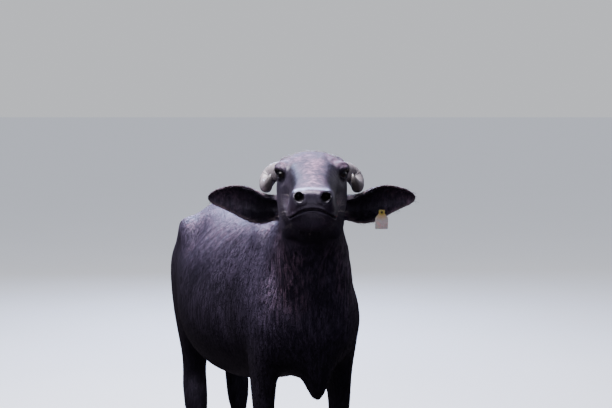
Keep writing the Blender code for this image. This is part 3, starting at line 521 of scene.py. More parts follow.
eyeSetup = {
    "radius": 0.0215,
    "halfWidth": 0.0205,
    "halfHeight": 0.0140,
    "lid": 0.0040,
    "socket": 0.0178,  # how near the eye's middle the skin goes behind the eyeball
    # where each crease of the lids is, in eye widths, how wide and how deep
    "creaseAbove": (1.95, 0.13, 0.0024),
    "creaseBelow": (1.9, 0.12, 0.0012),
    # how far from the eye each fold is, and how deep
    "foldsAbove": ((0.031, 0.0022), (0.040, 0.0019), (0.050, 0.0015), (0.062, 0.0010)),
    "foldsBelow": ((0.027, 0.0013), (0.034, 0.0009)),
}
mouthSetup = {
    "corner": 0.222,
    "cornerCrease": 0.0035,
    "halfWidth": 0.078,
    "level": -0.037,
    "drop": 0.050,
    "depth": 0.0062,
    "width": 0.0021,
    "lip": 0.0016,
    "lipsApart": 0.007,
}
# how deep each row of folds is, and how far one is from the next
foldSetup = {
    "jaw": (0.0042, 0.023),
    "ribs": (0.0019, 0.078),
    "neck": (0.0014, 0.052),
    "spine": (0.0035, 0.058),
}
unevenness = {"head": 0.0011, "body": 0.0022}
spineAside = 0.0283


def mouthHeight(places):
    # how far above the line between the lips each place is
    out = np.clip(np.abs(places[:, 0]) / mouthSetup["halfWidth"], 0, 1.2)
    return places[:, 2] - mouthSetup["level"] + mouthSetup["drop"] * out ** 2.4


def openEyes(places):
    for side, _ in bothSides:
        centre, along, outward, upward = eyeAxes(side)
        away = places - centre
        reach = length(away)
        across = away @ outward / eyeSetup["halfWidth"]
        rise = away @ upward / eyeSetup["halfHeight"]
        almond = np.sqrt(across ** 2 + (rise / np.maximum(1 - 0.35 * across ** 2, 0.3)) ** 2)
        infront = ramp(0.1, 0.3, away @ along / np.maximum(reach, 1e-6)) * (reach < 0.05)
        inside = (1 - ramp(0.9, 1.02, almond)) * infront
        lidReach = eyeSetup["radius"] + eyeSetup["lid"]
        onLid = (1 - ramp(1.3, 1.9, almond)) * infront * (1 - inside)
        target = reach + (np.maximum(lidReach, reach) - reach) * onLid
        for crease, here in (("creaseAbove", rise > -0.2), ("creaseBelow", rise <= -0.2)):
            at, width, depth = eyeSetup[crease]
            target = target - depth * hump(almond - at, width) * infront * here
        target = target * (1 - inside) + eyeSetup["socket"] * inside
        places = centre + unit(away) * target[:, None]
    return places


def foldsIn(row, travelled, phase=0):
    depth, apart = foldSetup[row]
    return depth * np.cos(travelled * 2 * math.pi / apart + phase)


def browFolds(places):
    # folds that arch over each eye, and shallower ones below it
    out = np.zeros(len(places))
    wobble = 0.0016 * waves(places, 90, 3)
    for side, _ in bothSides:
        across, rise, near = aroundEye(places, side)
        ring = np.hypot(across * 0.8, rise)
        over = ramp(0.004, 0.022, rise) * window(across, -0.05, -0.03, 0.03, 0.05) * (near < 0.12)
        for distance, depth in eyeSetup["foldsAbove"]:
            out -= depth * hump(ring - distance + wobble, 0.0024) * over
            out += depth * 0.5 * hump(ring - distance - 0.0048 + wobble, 0.0030) * over
        under = ramp(0.006, 0.02, -rise) * hump(across + 0.004, 0.022) * (near < 0.09)
        for distance, depth in eyeSetup["foldsBelow"]:
            out -= depth * hump(ring - distance + wobble, 0.0022) * under
    return out


def sculptHead(piece):
    points = readPoints(piece)
    normals = readNormals(piece)
    shrink = (skinSetup["headSwell"] + skinSetup["coatDepth"] * 0.6) * (1 - earShare(toHead(points)))
    places = toHead(points - normals * shrink[:, None])
    left, ahead, up = places.T
    aside = np.abs(left)

    # the line of the mouth, between two lips
    above = mouthHeight(places)
    apart = mouthSetup["lipsApart"]
    inMouth = ramp(0.2, 0.235, ahead) * (1 - ramp(0.074, 0.082, aside))
    out = -mouthSetup["depth"] * hump(above, mouthSetup["width"]) * inMouth
    out += mouthSetup["lip"] * (hump(above - apart, 0.005) + hump(above + apart, 0.005)) * inMouth
    # creases that run down from the corners of the mouth
    fromCorner = ahead - mouthSetup["corner"] - 0.2 * (up + 0.09)
    out -= mouthSetup["cornerCrease"] * (hump(fromCorner, 0.006) * hump(up + 0.105, 0.025) * (aside > 0.03))
    # nostrils' rims
    nostril = np.hypot(aside - 0.038, up + 0.003)
    out += 0.0007 * hump(nostril - 0.0190, 0.0060) * ramp(0.31, 0.335, ahead)
    out += browFolds(places)
    # soft folds under the jaw
    underJaw = ramp(-0.095, -0.14, up) * window(ahead, 0.02, 0.08, 0.24, 0.29)
    out -= foldsIn("jaw", left, 1.2 * waves(places, 14, 5)) * hump(aside - 0.016, 0.032) * underJaw
    # a slow unevenness of flesh over bone
    out += unevenness["head"] * waves(places, 34, 7) * (1 - ramp(0.1, 0.14, aside))
    places = openEyes(places + (normals @ headTurn) * out[:, None])
    writePoints(piece, fromHead(places))


def sculptBody(piece):
    points = readPoints(piece)
    x, y, z = points.T
    legs = 1 - ramp(0.35, 0.75, z)
    out = -skinSetup["coatDepth"] * (1 - 0.6 * legs)
    # ribs that show through the flank, sloping back as they go down
    onFlank = window(y, -0.12, 0.04, 0.34, 0.46) * window(z, 0.86, 1.06, 1.2, 1.28)
    onFlank = onFlank * ramp(0.1, 0.2, np.abs(x - 0.03))
    slant = y + 0.62 * (z - 1.1) + 0.014 * waves(points, 6, 11)
    out = out + foldsIn("ribs", slant) * onFlank
    # folds of loose skin on the side of the neck
    onNeck = window(y, -0.56, -0.46, -0.36, -0.26) * ramp(0.98, 1.1, z)
    out = out + foldsIn("neck", y * 0.8 + z * 0.35, 1.5 * waves(points, 7, 12)) * onNeck
    # knobs of the spine
    onSpine = hump(x - spineAside, 0.02) * ramp(1.2, 1.28, z) * ramp(-0.3, -0.2, y)
    out = out + foldsIn("spine", y) * onSpine
    # a slow unevenness of flesh over bone
    out = out + unevenness["body"] * waves(points, 13, 13) * (1 - legs)
    writePoints(piece, points + readNormals(piece) * out[:, None])


def earShare(places):
    return ramp(0.124, 0.150, np.abs(places[:, 0])) * (places[:, 1] < skinSetup["earsBehind"])


def drawEarsBack(head):
    # lays the blades of the ears on the solids again
    points = readPoints(head)
    share = earShare(toHead(points))
    for name in ("ear_left", "ear_right"):
        copy = copyNode(name, name + "Guide")
        guide = BVHTree.FromObject(copy, bpy.context.evaluated_depsgraph_get())
        bpy.data.objects.remove(copy)
        for index in np.flatnonzero(share > 0):
            place, _, _, away = guide.find_nearest(Vector(points[index]))
            if away < skinSetup["earReach"]:
                points[index] += (np.array(place) - points[index]) * share[index]
    writePoints(head, points)


def makeBodySkin():
    body = fuseNodes(["torso", "neck", "tail"] + legNodes, "skin", skinSetup["bodySwell"],
                     skinSetup["bodyGrid"])
    relax(body, skinSetup["bodyTurns"])
    # the trunk's facets and the hip bones are softened into the flesh round them
    points = readPoints(body)
    fromBack, fromBelow = skinSetup["trunkFrom"]
    onTrunk = (points[:, 2] > fromBelow) & (points[:, 1] > fromBack)
    relax(body, skinSetup["trunkTurns"], "trunk", onTrunk)
    points[:, 0] = np.abs(points[:, 0] - middleOf("torso").x)
    onHips = length(points - skinSetup["hipAt"]) < skinSetup["hipReach"]
    relax(body, skinSetup["hipTurns"], "hips", onHips)
    trimNeck(body, keepHead=False)
    sculptBody(body)
    print("body skin fused", len(body.data.polygons))
    return body


def makeHeadSkin():
    head = fuseNodes(["neck"] + headNodes + ["eye_left", "eye_right"], "headSkin",
                     skinSetup["headSwell"], skinSetup["headGrid"])
    relax(head, skinSetup["headTurns"])
    places = toHead(readPoints(head))
    onEar = (np.abs(places[:, 0]) > skinSetup["earsFrom"]) & (places[:, 1] < skinSetup["earsBehind"])
    relax(head, skinSetup["earTurns"], "ears", onEar)
    drawEarsBack(head)
    relax(head, skinSetup["earTurns"], "ears")
    trimNeck(head, keepHead=True)
    muzzle = skinSetup["muzzleAhead"]
    refine(head, lambda places: places[:, 1] > muzzle, 1)
    refine(head, lambda places: (places[:, 1] > muzzle) & (np.abs(mouthHeight(places)) < 0.009), 1)
    for side, _ in bothSides:
        centre, along, _, _ = eyeAxes(side)
        refine(head, lambda places: (length(places - centre) < skinSetup["eyeReach"])
               & ((places - centre) @ along > 0.004), 3)
    sculptHead(head)
    print("head skin fused", len(head.data.polygons))
    return head


def makeSkin():
    skin = joinPieces([makeBodySkin(), makeHeadSkin()], "skin")
    workOn(skin)
    bpy.ops.object.mode_set(mode="EDIT")
    bpy.context.tool_settings.mesh_select_mode = (False, True, False)
    bpy.ops.mesh.select_all(action="DESELECT")
    bpy.ops.mesh.select_non_manifold(extend=False, use_wire=False, use_boundary=True,
                                     use_multi_face=False, use_non_contiguous=False, use_verts=False)
    bpy.ops.mesh.bridge_edge_loops()
    objectMode()
    smoothShade(skin)
    skin.data.calc_loop_triangles()
    print("skin joined,", len(skin.data.loop_triangles), "triangles")
    return skin


def earEdges(places, isEar):
    # the height of the ears' lower and upper edges, by how far aside
    stations = np.linspace(0.115, 0.335, 23)
    aside, up = np.abs(places[:, 0]), places[:, 2]
    slices = [up[(np.abs(aside - station) < 0.008) & (isEar > 0.5)] for station in stations]
    lower = [part.min() if len(part) else -0.13 for part in slices]
    upper = [part.max() if len(part) else -0.11 for part in slices]
    return np.interp(aside, stations, lower), np.interp(aside, stations, upper)


# how pale the dust and painted light on each place is, and how dark the painted shade and the dark colour on
# the others are
dustAndLightOn = {
    "back": 0.30, "neck": 0.17, "face": 0.30, "bridge": 0.34, "cheek": 0.08, "nose": 0.34,
    "earTips": 0.42, "chin": 0.16, "brow": 0.34, "lids": 0.09,
}
# lips is the nose pad's own dark colour; the other places are painted shade
shadeAndDarkOn = {
    "lips": 0.42, "hollow": 0.5, "eyeRim": 0.78, "track": 0.75, "mouth": 0.9, "cup": 0.42,
    "flank": 0.55, "legs": 0.7,
}


def paintSkin(skin):
    # dust and painted light, painted shade and dark colour, wetness and lie, by where each point is on the
    # animal
    points = readPoints(skin)
    normals = readNormals(skin)
    places = toHead(points)
    facing = normals @ headTurn
    left, ahead, up = places.T
    aside = np.abs(left)
    onHead = ramp(-0.2, -0.12, ahead) * (aside < 0.4) * ramp(-0.3, -0.2, up)
    isEar = ramp(0.113, 0.122, aside) * onHead * (ahead < skinSetup["earsBehind"])
    isFace = onHead * (1 - isEar)

    # dust on top-facing places of the body, partly painted light from above
    dust = dustAndLightOn["back"] * ramp(0.45, 0.98, normals[:, 2]) * (1 - isFace)
    # painted light on the side of the neck
    neckSide = hump(points[:, 1] + 0.52, 0.12) * ramp(0.92, 1.12, points[:, 2]) * (1 - onHead)
    dust += dustAndLightOn["neck"] * neckSide * ramp(0.1, 0.5, np.abs(normals[:, 0]))
    lined = waves(places * [1, 0.3, 0.3], 260, 45)
    mottled = 0.62 + 0.3 * waves(places, 120, 41) + 0.4 * lined
    # dust on the face, paler where it faces up: partly painted light from above
    dust += isFace * (0.02 + dustAndLightOn["face"] * ramp(0.15, 0.85, facing[:, 2])) * mottled
    # painted highlight along the bridge of the nose
    bridge = hump(aside, 0.027 + 0.03 * ramp(0.16, -0.02, ahead)) * window(ahead, -0.10, 0.05, 0.26, 0.31)
    dust += isFace * (dustAndLightOn["bridge"] + 0.2 * lined) * bridge * ramp(0.2, 0.7, facing[:, 2])
    cheek = hump(aside - 0.080, 0.022) * hump(ahead - 0.16, 0.10) * hump(up + 0.06, 0.06)
    dust += isFace * dustAndLightOn["cheek"] * cheek
    # painted shade in the furrows of the brow, where the dust is taken out
    furrow = np.abs(waves(places * [1, 0.35, 0.35], 95, 51))
    onBrow = isFace * ramp(0.10, 0.0, ahead) * ramp(-0.005, 0.03, up)
    dust *= 1 - 0.65 * (1 - ramp(0.0, 0.22, furrow)) * onBrow
    muzzle = ramp(0.27, 0.31, ahead) * ramp(0.022, 0.008, up)
    dust *= 1 - 0.9 * muzzle
    # painted highlight on the wet top of the nose
    nose = isFace * ramp(0.27, 0.31, ahead) * ramp(0.004, 0.016, up)
    dust += dustAndLightOn["nose"] * nose * ramp(0.3, 0.8, facing[:, 2])
    dust *= 1 - 0.9 * isEar
    # paler ear tips, partly dust and partly painted light
    dust += dustAndLightOn["earTips"] * isEar * ramp(0.18, 0.31, aside) * (0.6 + 0.4 * waves(places, 190, 47))
    # painted light on the chin and under the jaw
    chin = isFace * ramp(0.0, -0.06, up) * ramp(0.1, 0.2, ahead)
    dust += dustAndLightOn["chin"] * chin * (0.7 + 0.3 * waves(places, 150, 49))

    # the nose pad's own dark colour
    deep = shadeAndDarkOn["lips"] * isFace * muzzle * ramp(-0.085, -0.06, up)
    for side, _ in bothSides:
        across, rise, near = aroundEye(places, side)
        # painted shade in the hollow below and ahead of each eye, where the dust is taken out too
        hollow = hump(np.hypot((across + 0.024) * 0.72, rise + 0.012), 0.044) * (near < 0.15)
        dust *= 1 - 0.9 * np.minimum(hollow * 1.5, 1)
        deep = np.maximum(deep, shadeAndDarkOn["hollow"] * hollow)
        # painted highlight on the brow above each eye
        brow = hump(rise - 0.034, 0.011) * hump(across + 0.004, 0.032) * (near < 0.12)
        dust += isFace * dustAndLightOn["brow"] * brow
        across, rise = across / eyeSetup["halfWidth"], rise / eyeSetup["halfHeight"]
        almond = np.hypot(across, rise)
        # painted shade round the opening of the eye
        deep = np.maximum(deep, shadeAndDarkOn["eyeRim"] * (1 - ramp(1.05, 1.5, almond)) * (near < 0.05))
        lids = hump(almond - 1.75, 0.16) * (near < 0.06) * ramp(-0.2, 0.5, rise)
        dust += isFace * dustAndLightOn["lids"] * lids
        # the dark track of painted shade that runs from the inner corner down beside the nose
        track = hump(left - side * (0.066 - 0.08 * np.clip(ahead - 0.03, 0, 0.2)), 0.019)
        track = track * window(ahead, 0.02, 0.05, 0.17, 0.25) * ramp(-0.07, -0.03, up)
        dust *= 1 - 0.85 * track
        deep = np.maximum(deep, shadeAndDarkOn["track"] * track)
    # painted shade inside the nostrils
    nostril = np.hypot(aside - 0.039, up + 0.004)
    inNostril = (1 - ramp(0.0145, 0.0180, nostril)) * ramp(0.28, 0.3, ahead) * ramp(-0.03, -0.02, up)
    deep = np.maximum(deep, inNostril)
    above = mouthHeight(places)
    inMouth = ramp(0.205, 0.235, ahead) * (1 - ramp(0.075, 0.083, aside))
    # painted shade in the crease between the lips
    deep = np.maximum(deep, shadeAndDarkOn["mouth"] * hump(above, 0.0035) * inMouth)
    wet = ramp(0.285, 0.325, ahead) * ramp(-0.052, -0.036, up) * (1 - 0.6 * ramp(0.055, 0.07, aside))
    dust *= 1 - 0.7 * inMouth * ramp(0.03, 0.0, above)

    # painted shade in the cup of each ear
    cup = isEar * ramp(0.0, 0.5, facing[:, 1])
    deep = np.maximum(deep, shadeAndDarkOn["cup"] * cup * hump(aside - 0.17, 0.12))
    lowerEdge, upperEdge = earEdges(places, isEar)
    edges = np.maximum(hump(up - lowerEdge, 0.009), 0.45 * hump(up - upperEdge, 0.007))
    rim = isEar * ramp(-0.6, 0.1, facing[:, 1]) * edges * (0.65 + 0.35 * waves(places, 70, 43))
    deep = deep * (1 - 0.8 * rim)
    # painted shade low on the sides of the trunk and on the legs, where the light from above falls off
    lowOnSide = shadeAndDarkOn["flank"] * ramp(1.16, 1.0, points[:, 2]) * ramp(-0.30, -0.12, points[:, 1])
    onLegs = shadeAndDarkOn["legs"] * ramp(0.98, 0.78, points[:, 2])
    deep = np.maximum(deep, (1 - onHead) * np.maximum(lowOnSide, onLegs))
    painting = {
        "dust": dust, "deep": deep, "wet": wet, "rim": rim, "face": isFace, "ear": isEar,
        "level": ramp(0.6, 0.85, np.abs(normals[:, 2])), "hairy": 1 - wet - 0.6 * isFace,
    }
    for name, values in painting.items():
        writeValues(skin, name, np.clip(values, 0, 1))


hide = makeHide("hide")
skin = makeSkin()
paintSkin(skin)
finishPiece(skin, hide, fleshNodes)


# Eyes

eyeLook = {
    "iris": (0.010, 0.005, 0.003, 1),
    "pupil": (0.001, 0.001, 0.001, 1),
    "white": (0.018, 0.011, 0.010, 1),
    "gloss": {"Roughness": 0.06, "Coat Weight": 1.0, "Coat Roughness": 0.02, "Specular IOR Level": 0.6},
    "threads": (900, 900, 900),
    "irisReach": 0.0115,
    "pupilReach": (0.0042, 0.0050),
    "pupilShape": (0.62, 1.25),  # a slot that lies level
    "cornea": 0.0016,
}


def makeEyeLook(name, centre, outward, upward):
    material, tree, shader = newMaterial(name, eyeLook["gloss"])
    away = awayFrom(tree, centre)
    across, rise = measured(tree, away, outward), measured(tree, away, upward)
    ring = fromMiddle(tree, across, rise)
    flat, tall = eyeLook["pupilShape"]
    slot = fromMiddle(tree, times(tree, across, flat), times(tree, rise, tall))
    mapped = addNode(tree, "ShaderNodeMapping", {"Vector": away, "Scale": eyeLook["threads"]}).outputs[0]
    threads = spread(tree, noise(tree, mapped, 1, 3), 0.35, 0.7)
    iris = blendColours(tree, threads, eyeLook["pupil"], eyeLook["iris"])
    reach = eyeLook["irisReach"]
    colour = layerColours(tree, eyeLook["pupil"], (
        (slot, *eyeLook["pupilReach"], iris), (ring, reach, reach * 1.12, eyeLook["white"]),
    ))
    setInputs(tree, shader, {"Base Color": colour})
    return material


def makeEye(side, sideName):
    centre, along, outward, upward = eyeAxes(side)
    deselectAll()
    bpy.ops.mesh.primitive_uv_sphere_add(segments=48, ring_count=32, radius=eyeSetup["radius"])
    eye = bpy.context.object
    eye.name = "eye" + sideName
    # the clear front of the eye bulges out of the ball
    points = readPoints(eye)
    ring = np.hypot(points[:, 0], points[:, 1])
    front = (points[:, 2] > 0) * (1 - ramp(0.3, 1.0, ring / eyeLook["irisReach"]))
    points[:, 2] += eyeLook["cornea"] * front
    writePoints(eye, fromHead(centre + points @ np.array([outward, upward, along])))
    faceOutward(eye)
    smoothShade(eye)
    material = makeEyeLook("eyeGloss" + sideName, fromHead(centre), headTurn @ outward, headTurn @ upward)
    finishPiece(eye, material, [f"eye_{sideName.lower()}"])


for side, sideName in bothSides:
    makeEye(side, sideName)
print("eyes made")


# Horns

hornSetup = {
    "rings": 110,
    "sides": 30,
    "ringLength": 0.0085,
    "ringDepth": 0.0016,
    "squareness": 2.3,  # 2 would be an oval section
    # left, ahead, up, half width and half height of the section
    "stations": [
        (0.046, -0.100, -0.012, 0.0215, 0.0285),
        (0.078, -0.138, -0.018, 0.0230, 0.0295),
        (0.108, -0.168, -0.026, 0.0240, 0.0305),
        (0.130, -0.186, -0.039, 0.0240, 0.0285),
        (0.144, -0.180, -0.056, 0.0235, 0.0255),
        (0.148, -0.152, -0.067, 0.0225, 0.0215),
        (0.145, -0.120, -0.066, 0.0205, 0.0180),
        (0.139, -0.096, -0.052, 0.0165, 0.0140),
        (0.134, -0.089, -0.035, 0.0105, 0.0086),
        (0.130, -0.094, -0.022, 0.0032, 0.0032),
    ],
}


def alongPath(stations, count):
    # a smooth curve through the stations, with count places evenly spread along it
    rows = np.array(stations, float)
    ends = np.vstack([2 * rows[0] - rows[1], rows, 2 * rows[-1] - rows[-2]])
    fine = []
    for number in range(len(rows) - 1):
        before, start, end, after = ends[number:number + 4]
        share = np.linspace(0, 1, 40, endpoint=number == len(rows) - 2)[:, None]
        fine.append(0.5 * (2 * start + (end - before) * share
                           + (2 * before - 5 * start + 4 * end - after) * share ** 2
                           + (3 * start - before - 3 * end + after) * share ** 3))
    fine = np.vstack(fine)
    travelled = np.concatenate([[0], np.cumsum(length(np.diff(fine[:, :3], axis=0)))])
    wanted = np.linspace(0, travelled[-1], count)
    return np.column_stack([np.interp(wanted, travelled, column) for column in fine.T]), wanted


hornLook = {
    "dark": (0.070, 0.062, 0.070, 1),
    "pale": (0.24, 0.215, 0.235, 1),
    "cracks": (0.075, 0.065, 0.062, 1),
    "tip": (0.045, 0.040, 0.040, 1),
    "root": (0.060, 0.052, 0.050, 1),
}


def makeHornLook():
    material, tree, shader = newMaterial("hornSheath", {"Specular IOR Level": 0.45})
    along = painted(tree, "along")
    around = noise(tree, objectPlace(tree), 60, 5, 0.65)
    patches = noise(tree, objectPlace(tree), 16, 4)
    colour = layerColours(tree, hornLook["dark"], (
        (patches, 0.3, 0.7, hornLook["pale"]), (around, 0.5, 0.78, hornLook["cracks"]),
        (along, 0.70, 1.0, hornLook["tip"]), (along, 0.26, 0.05, hornLook["root"]),
    ))
    normal = bumped(tree, around, 0.0012, 0.6)
    normal = bumped(tree, noise(tree, objectPlace(tree), 420, 3), 0.0004, 0.5, normal)
    roughness = spread(tree, around, 0.2, 0.8, 0.34, 0.6)
    setInputs(tree, shader, {"Base Color": colour, "Roughness": roughness, "Normal": normal})
    return material


def roundedSection(turns, halfWidth, halfHeight):
    # the across and upward parts of an oval that is a little squared
    power = 2 / hornSetup["squareness"]
    return [np.sign(wave) * np.abs(wave) ** power * half
            for wave, half in ((np.cos(turns), halfWidth), (np.sin(turns), halfHeight))]


def makeHorn(side, sideName, material):
    path, travelled = alongPath(hornSetup["stations"], hornSetup["rings"])
    path[:, 0] *= side
    sides = hornSetup["sides"]
    turns = np.linspace(0, 2 * math.pi, sides, endpoint=False)
    broad = np.array([0, 0, 1.0])
    share = travelled / travelled[-1]
    # growth rings, deep at the root and gone before the tip
    phase = travelled / hornSetup["ringLength"] + 0.35 * np.sin(travelled * 210)
    ridge = (np.abs((phase % 1) - 0.5) * 2) ** 1.6
    swell = 1 + (ridge - 0.5) * hornSetup["ringDepth"] / 0.02 * (1 - ramp(0.45, 0.8, share))
    rings = []
    for number in range(len(path)):
        ahead = unit(path[min(number + 1, len(path) - 1), :3] - path[max(number - 1, 0), :3])
        broad = unit(broad - ahead * (broad @ ahead))
        across = np.cross(ahead, broad)
        wide, high = [part * swell[number] for part in roundedSection(turns, *path[number, 3:])]
        rings.append(path[number, :3] + wide[:, None] * across + high[:, None] * broad)
    places = np.vstack(rings + [path[-1:, :3] + (path[-1:, :3] - path[-2:-1, :3])])
    faces = [tuple(reversed(range(sides)))]
    for ring in range(len(rings) - 1):
        for turn in range(sides):
            low, high = ring * sides, (ring + 1) * sides
            faces.append((low + turn, low + (turn + 1) % sides, high + (turn + 1) % sides, high + turn))
    last = (len(rings) - 1) * sides
    faces += [(last + turn, last + (turn + 1) % sides, len(places) - 1) for turn in range(sides)]
    mesh = bpy.data.meshes.new("horn" + sideName)
    mesh.from_pydata(fromHead(places).tolist(), [], faces)
    horn = newPiece("horn" + sideName, mesh)
    writeValues(horn, "along", np.concatenate([np.repeat(share, sides), [1.0]]))
    faceOutward(horn)
    smoothShade(horn)
    finishPiece(horn, material, [f"horn_{sideName.lower()}"])


hornSheath = makeHornLook()
for side, sideName in bothSides:
    makeHorn(side, sideName, hornSheath)
print("horns made")


# Ear tag: a bevelled plate with a raised boss round its stud, and the button behind the ear

tagSetup = {
    "edge": 0.0007,
    "buttonEdge": 0.0012,
    "bossRadius": 0.0078,
    "bossHeight": 0.0013,
    "studRadius": 0.0040,
    "pinAt": (0.227, -0.153),  # aside and up, on the head's axes
    "pinShows": 0.0025,
}
tagLook = {
    "shine": {"Specular IOR Level": 0.45, "Subsurface Weight": 0.25, "Subsurface Scale": 0.003},
    "yellow": (0.74, 0.52, 0.10, 1),
    "yellowReach": (0.007, 0.030),  # the yellow fades out between these, from the pin
    "pale": (0.93, 0.88, 0.86, 1),
    "grimy": (0.72, 0.65, 0.60, 1),
    "pinHole": (0.16, 0.11, 0.05, 1),
    "holeReach": (0.0041, 0.0036),
    "scratches": (900, 900, 120),
}


def makeTagLook():
    material, tree, shader = newMaterial("tagPlastic", tagLook["shine"])
    aside, up = tagSetup["pinAt"]
    away = awayFrom(tree, fromHead(np.array([[aside, 0.0, up]]))[0])
    across, rise = [measured(tree, away, headTurn @ axis) for axis in ([1.0, 0, 0], [0, 0, 1.0])]
    ring = fromMiddle(tree, across, rise)
    grime = noise(tree, objectPlace(tree), 130, 4, 0.65)
    plastic = layerColours(tree, tagLook["pale"], [(grime, 0.45, 0.75, tagLook["grimy"])])
    colour = layerColours(tree, tagLook["yellow"], (
        (ring, *tagLook["yellowReach"], plastic), (ring, *tagLook["holeReach"], tagLook["pinHole"]),
    ))
    scratches = noise(tree, objectPlace(tree, tagLook["scratches"]), 1, 3)
    setInputs(tree, shader, {
        "Base Color": colour, "Roughness": spread(tree, grime, 0.3, 0.7, 0.30, 0.55),
        "Normal": bumped(tree, scratches, 0.0002, 0.5),
    })
    return material


def makeTag(material):
    plate = copyNode("ear_tag", "tagPlate")
    front = toHead(readPoints(plate))[:, 1].max() - tagSetup["pinShows"]
    aside, up = tagSetup["pinAt"]
    pieces = [plate]
    for radius, height in ((tagSetup["bossRadius"], tagSetup["bossHeight"]),
                           (tagSetup["studRadius"], tagSetup["pinShows"])):
        deselectAll()
        bpy.ops.mesh.primitive_cylinder_add(vertices=40, radius=radius, depth=2 * height)
        disc = bpy.context.object
        x, y, z = readPoints(disc).T
        writePoints(disc, fromHead(np.column_stack([x + aside, z + front, y + up])))
        faceOutward(disc)
        pieces.append(disc)
    for piece in pieces:
        bevelEdges(piece, tagSetup["edge"], 3)
    tag = joinPieces(pieces, "tagPlate")
    smoothShade(tag)
    finishPiece(tag, material, ["ear_tag"])
    button = copyNode("ear_tag_button", "tagButton")
    bevelEdges(button, tagSetup["buttonEdge"], 4)
    smoothShade(button)
    finishPiece(button, material, ["ear_tag_button"])


makeTag(makeTagLook())
print("tag made")


# Hooves and dewclaws

hoofSetup = {
    "grid": 0.0024,
    "growth": 0.0062,  # between the rings that run round the wall
    "ringDepth": 0.00026,
    "lift": 0.006,  # how far the top reaches up inside the skin
    "topNarrows": 0.86,
    "turns": 14,
}
hoofLook = {
    "dark": (0.012, 0.010, 0.011, 1),
    "worn": (0.045, 0.038, 0.036, 1),
    "streaks": (0.075, 0.065, 0.060, 1),
    "sole": (0.115, 0.10, 0.085, 1),
    "top": (0.012, 0.011, 0.013, 1),
}


def makeHoofLook():
    material, tree, shader = newMaterial("hoofWall", {"Specular IOR Level": 0.35})
    fine = noise(tree, objectPlace(tree, (260, 260, 30)), 1, 4)
    patches = noise(tree, objectPlace(tree), 40, 4)
    height = addNode(tree, "ShaderNodeSeparateXYZ", {0: objectPlace(tree)}).outputs["Z"]
    colour = layerColours(tree, hoofLook["dark"], (
        (patches, 0.35, 0.7, hoofLook["worn"]), (fine, 0.5, 0.8, hoofLook["streaks"]),
        (height, 0.016, 0.0, hoofLook["sole"]), (height, 0.07, 0.09, hoofLook["top"]),
    ))
    setInputs(tree, shader, {
        "Base Color": colour, "Roughness": spread(tree, fine, 0.2, 0.8, 0.42, 0.7),
        "Normal": bumped(tree, fine, 0.0008, 0.7),
    })
    return material


def makeHoof(nodeName, material):
    words = nodeName.split("_")
    hoof = copyNode(nodeName, words[0] + "".join(word.title() for word in words[1:]))
    if "dewclaw" not in nodeName:
        # the flat top goes up into the leg
        points = readPoints(hoof)
        top = points[:, 2] > points[:, 2].max() - 0.002
        middle = points[top].mean(axis=0)
        points[top] = middle + (points[top] - middle) * hoofSetup["topNarrows"] + [0, 0, hoofSetup["lift"]]
        writePoints(hoof, points)
    applyModifier(hoof, "REMESH", mode="VOXEL", voxel_size=hoofSetup["grid"])
    relax(hoof, hoofSetup["turns"])
    points = readPoints(hoof)
    normals = readNormals(hoof)
    slope = points[:, 2] + 0.10 * (points[:, 1] - points[:, 1].mean())
    ridge = np.cos(slope * 2 * math.pi / hoofSetup["growth"] + 2.2 * waves(points, 45, 21))
    ridge *= 0.6 + 0.5 * waves(points, 70, 23)
    wall = (1 - ramp(0.5, 0.8, np.abs(normals[:, 2])))
    points += normals * (hoofSetup["ringDepth"] * (ridge * wall + 0.8 * waves(points, 240, 22)))[:, None]
    points[:, 2] = np.maximum(points[:, 2], 0)
    writePoints(hoof, points)
    smoothShade(hoof)
    finishPiece(hoof, material, [nodeName])


hoofWall = makeHoofLook()
for nodeName in sorted(cadNodes):
    if "hoof" in nodeName or "dewclaw" in nodeName:
        makeHoof(nodeName, hoofWall)
print("hooves made")


# Coat: sparse coarse hair that lies flat, in tufts of one to three blades each

rootMap = "hideUnwrap"


def unwrapSkin(skin):
    skin.data.uv_layers.new(name=rootMap)
    editAll(skin)
    bpy.ops.uv.smart_project(angle_limit=math.radians(66), island_margin=0.001)
    objectMode()
    print("skin unwrapped")


def readSkin(skin):
    mesh = skin.data
    mesh.calc_loop_triangles()
    count = len(mesh.loop_triangles)
    corners = np.empty(count * 3, np.int32)
    mesh.loop_triangles.foreach_get("vertices", corners)
    loops = np.empty(count * 3, np.int32)
    mesh.loop_triangles.foreach_get("loops", loops)
    unwrapped = np.empty(len(mesh.loops) * 2)
    mesh.uv_layers[rootMap].uv.foreach_get("vector", unwrapped)
    points = readPoints(skin)
    corners = corners.reshape(-1, 3)
    sheets = points[corners]
    area = length(np.cross(sheets[:, 1] - sheets[:, 0], sheets[:, 2] - sheets[:, 0])) / 2
    names = ("dust", "deep", "wet", "rim", "level", "face", "ear")
    return {
        "points": points, "normals": readNormals(skin), "corners": corners, "area": area,
        "unwrapped": unwrapped.reshape(-1, 2)[loops.reshape(-1, 3)],
        "values": {name: readValues(skin, name) for name in names},
    }


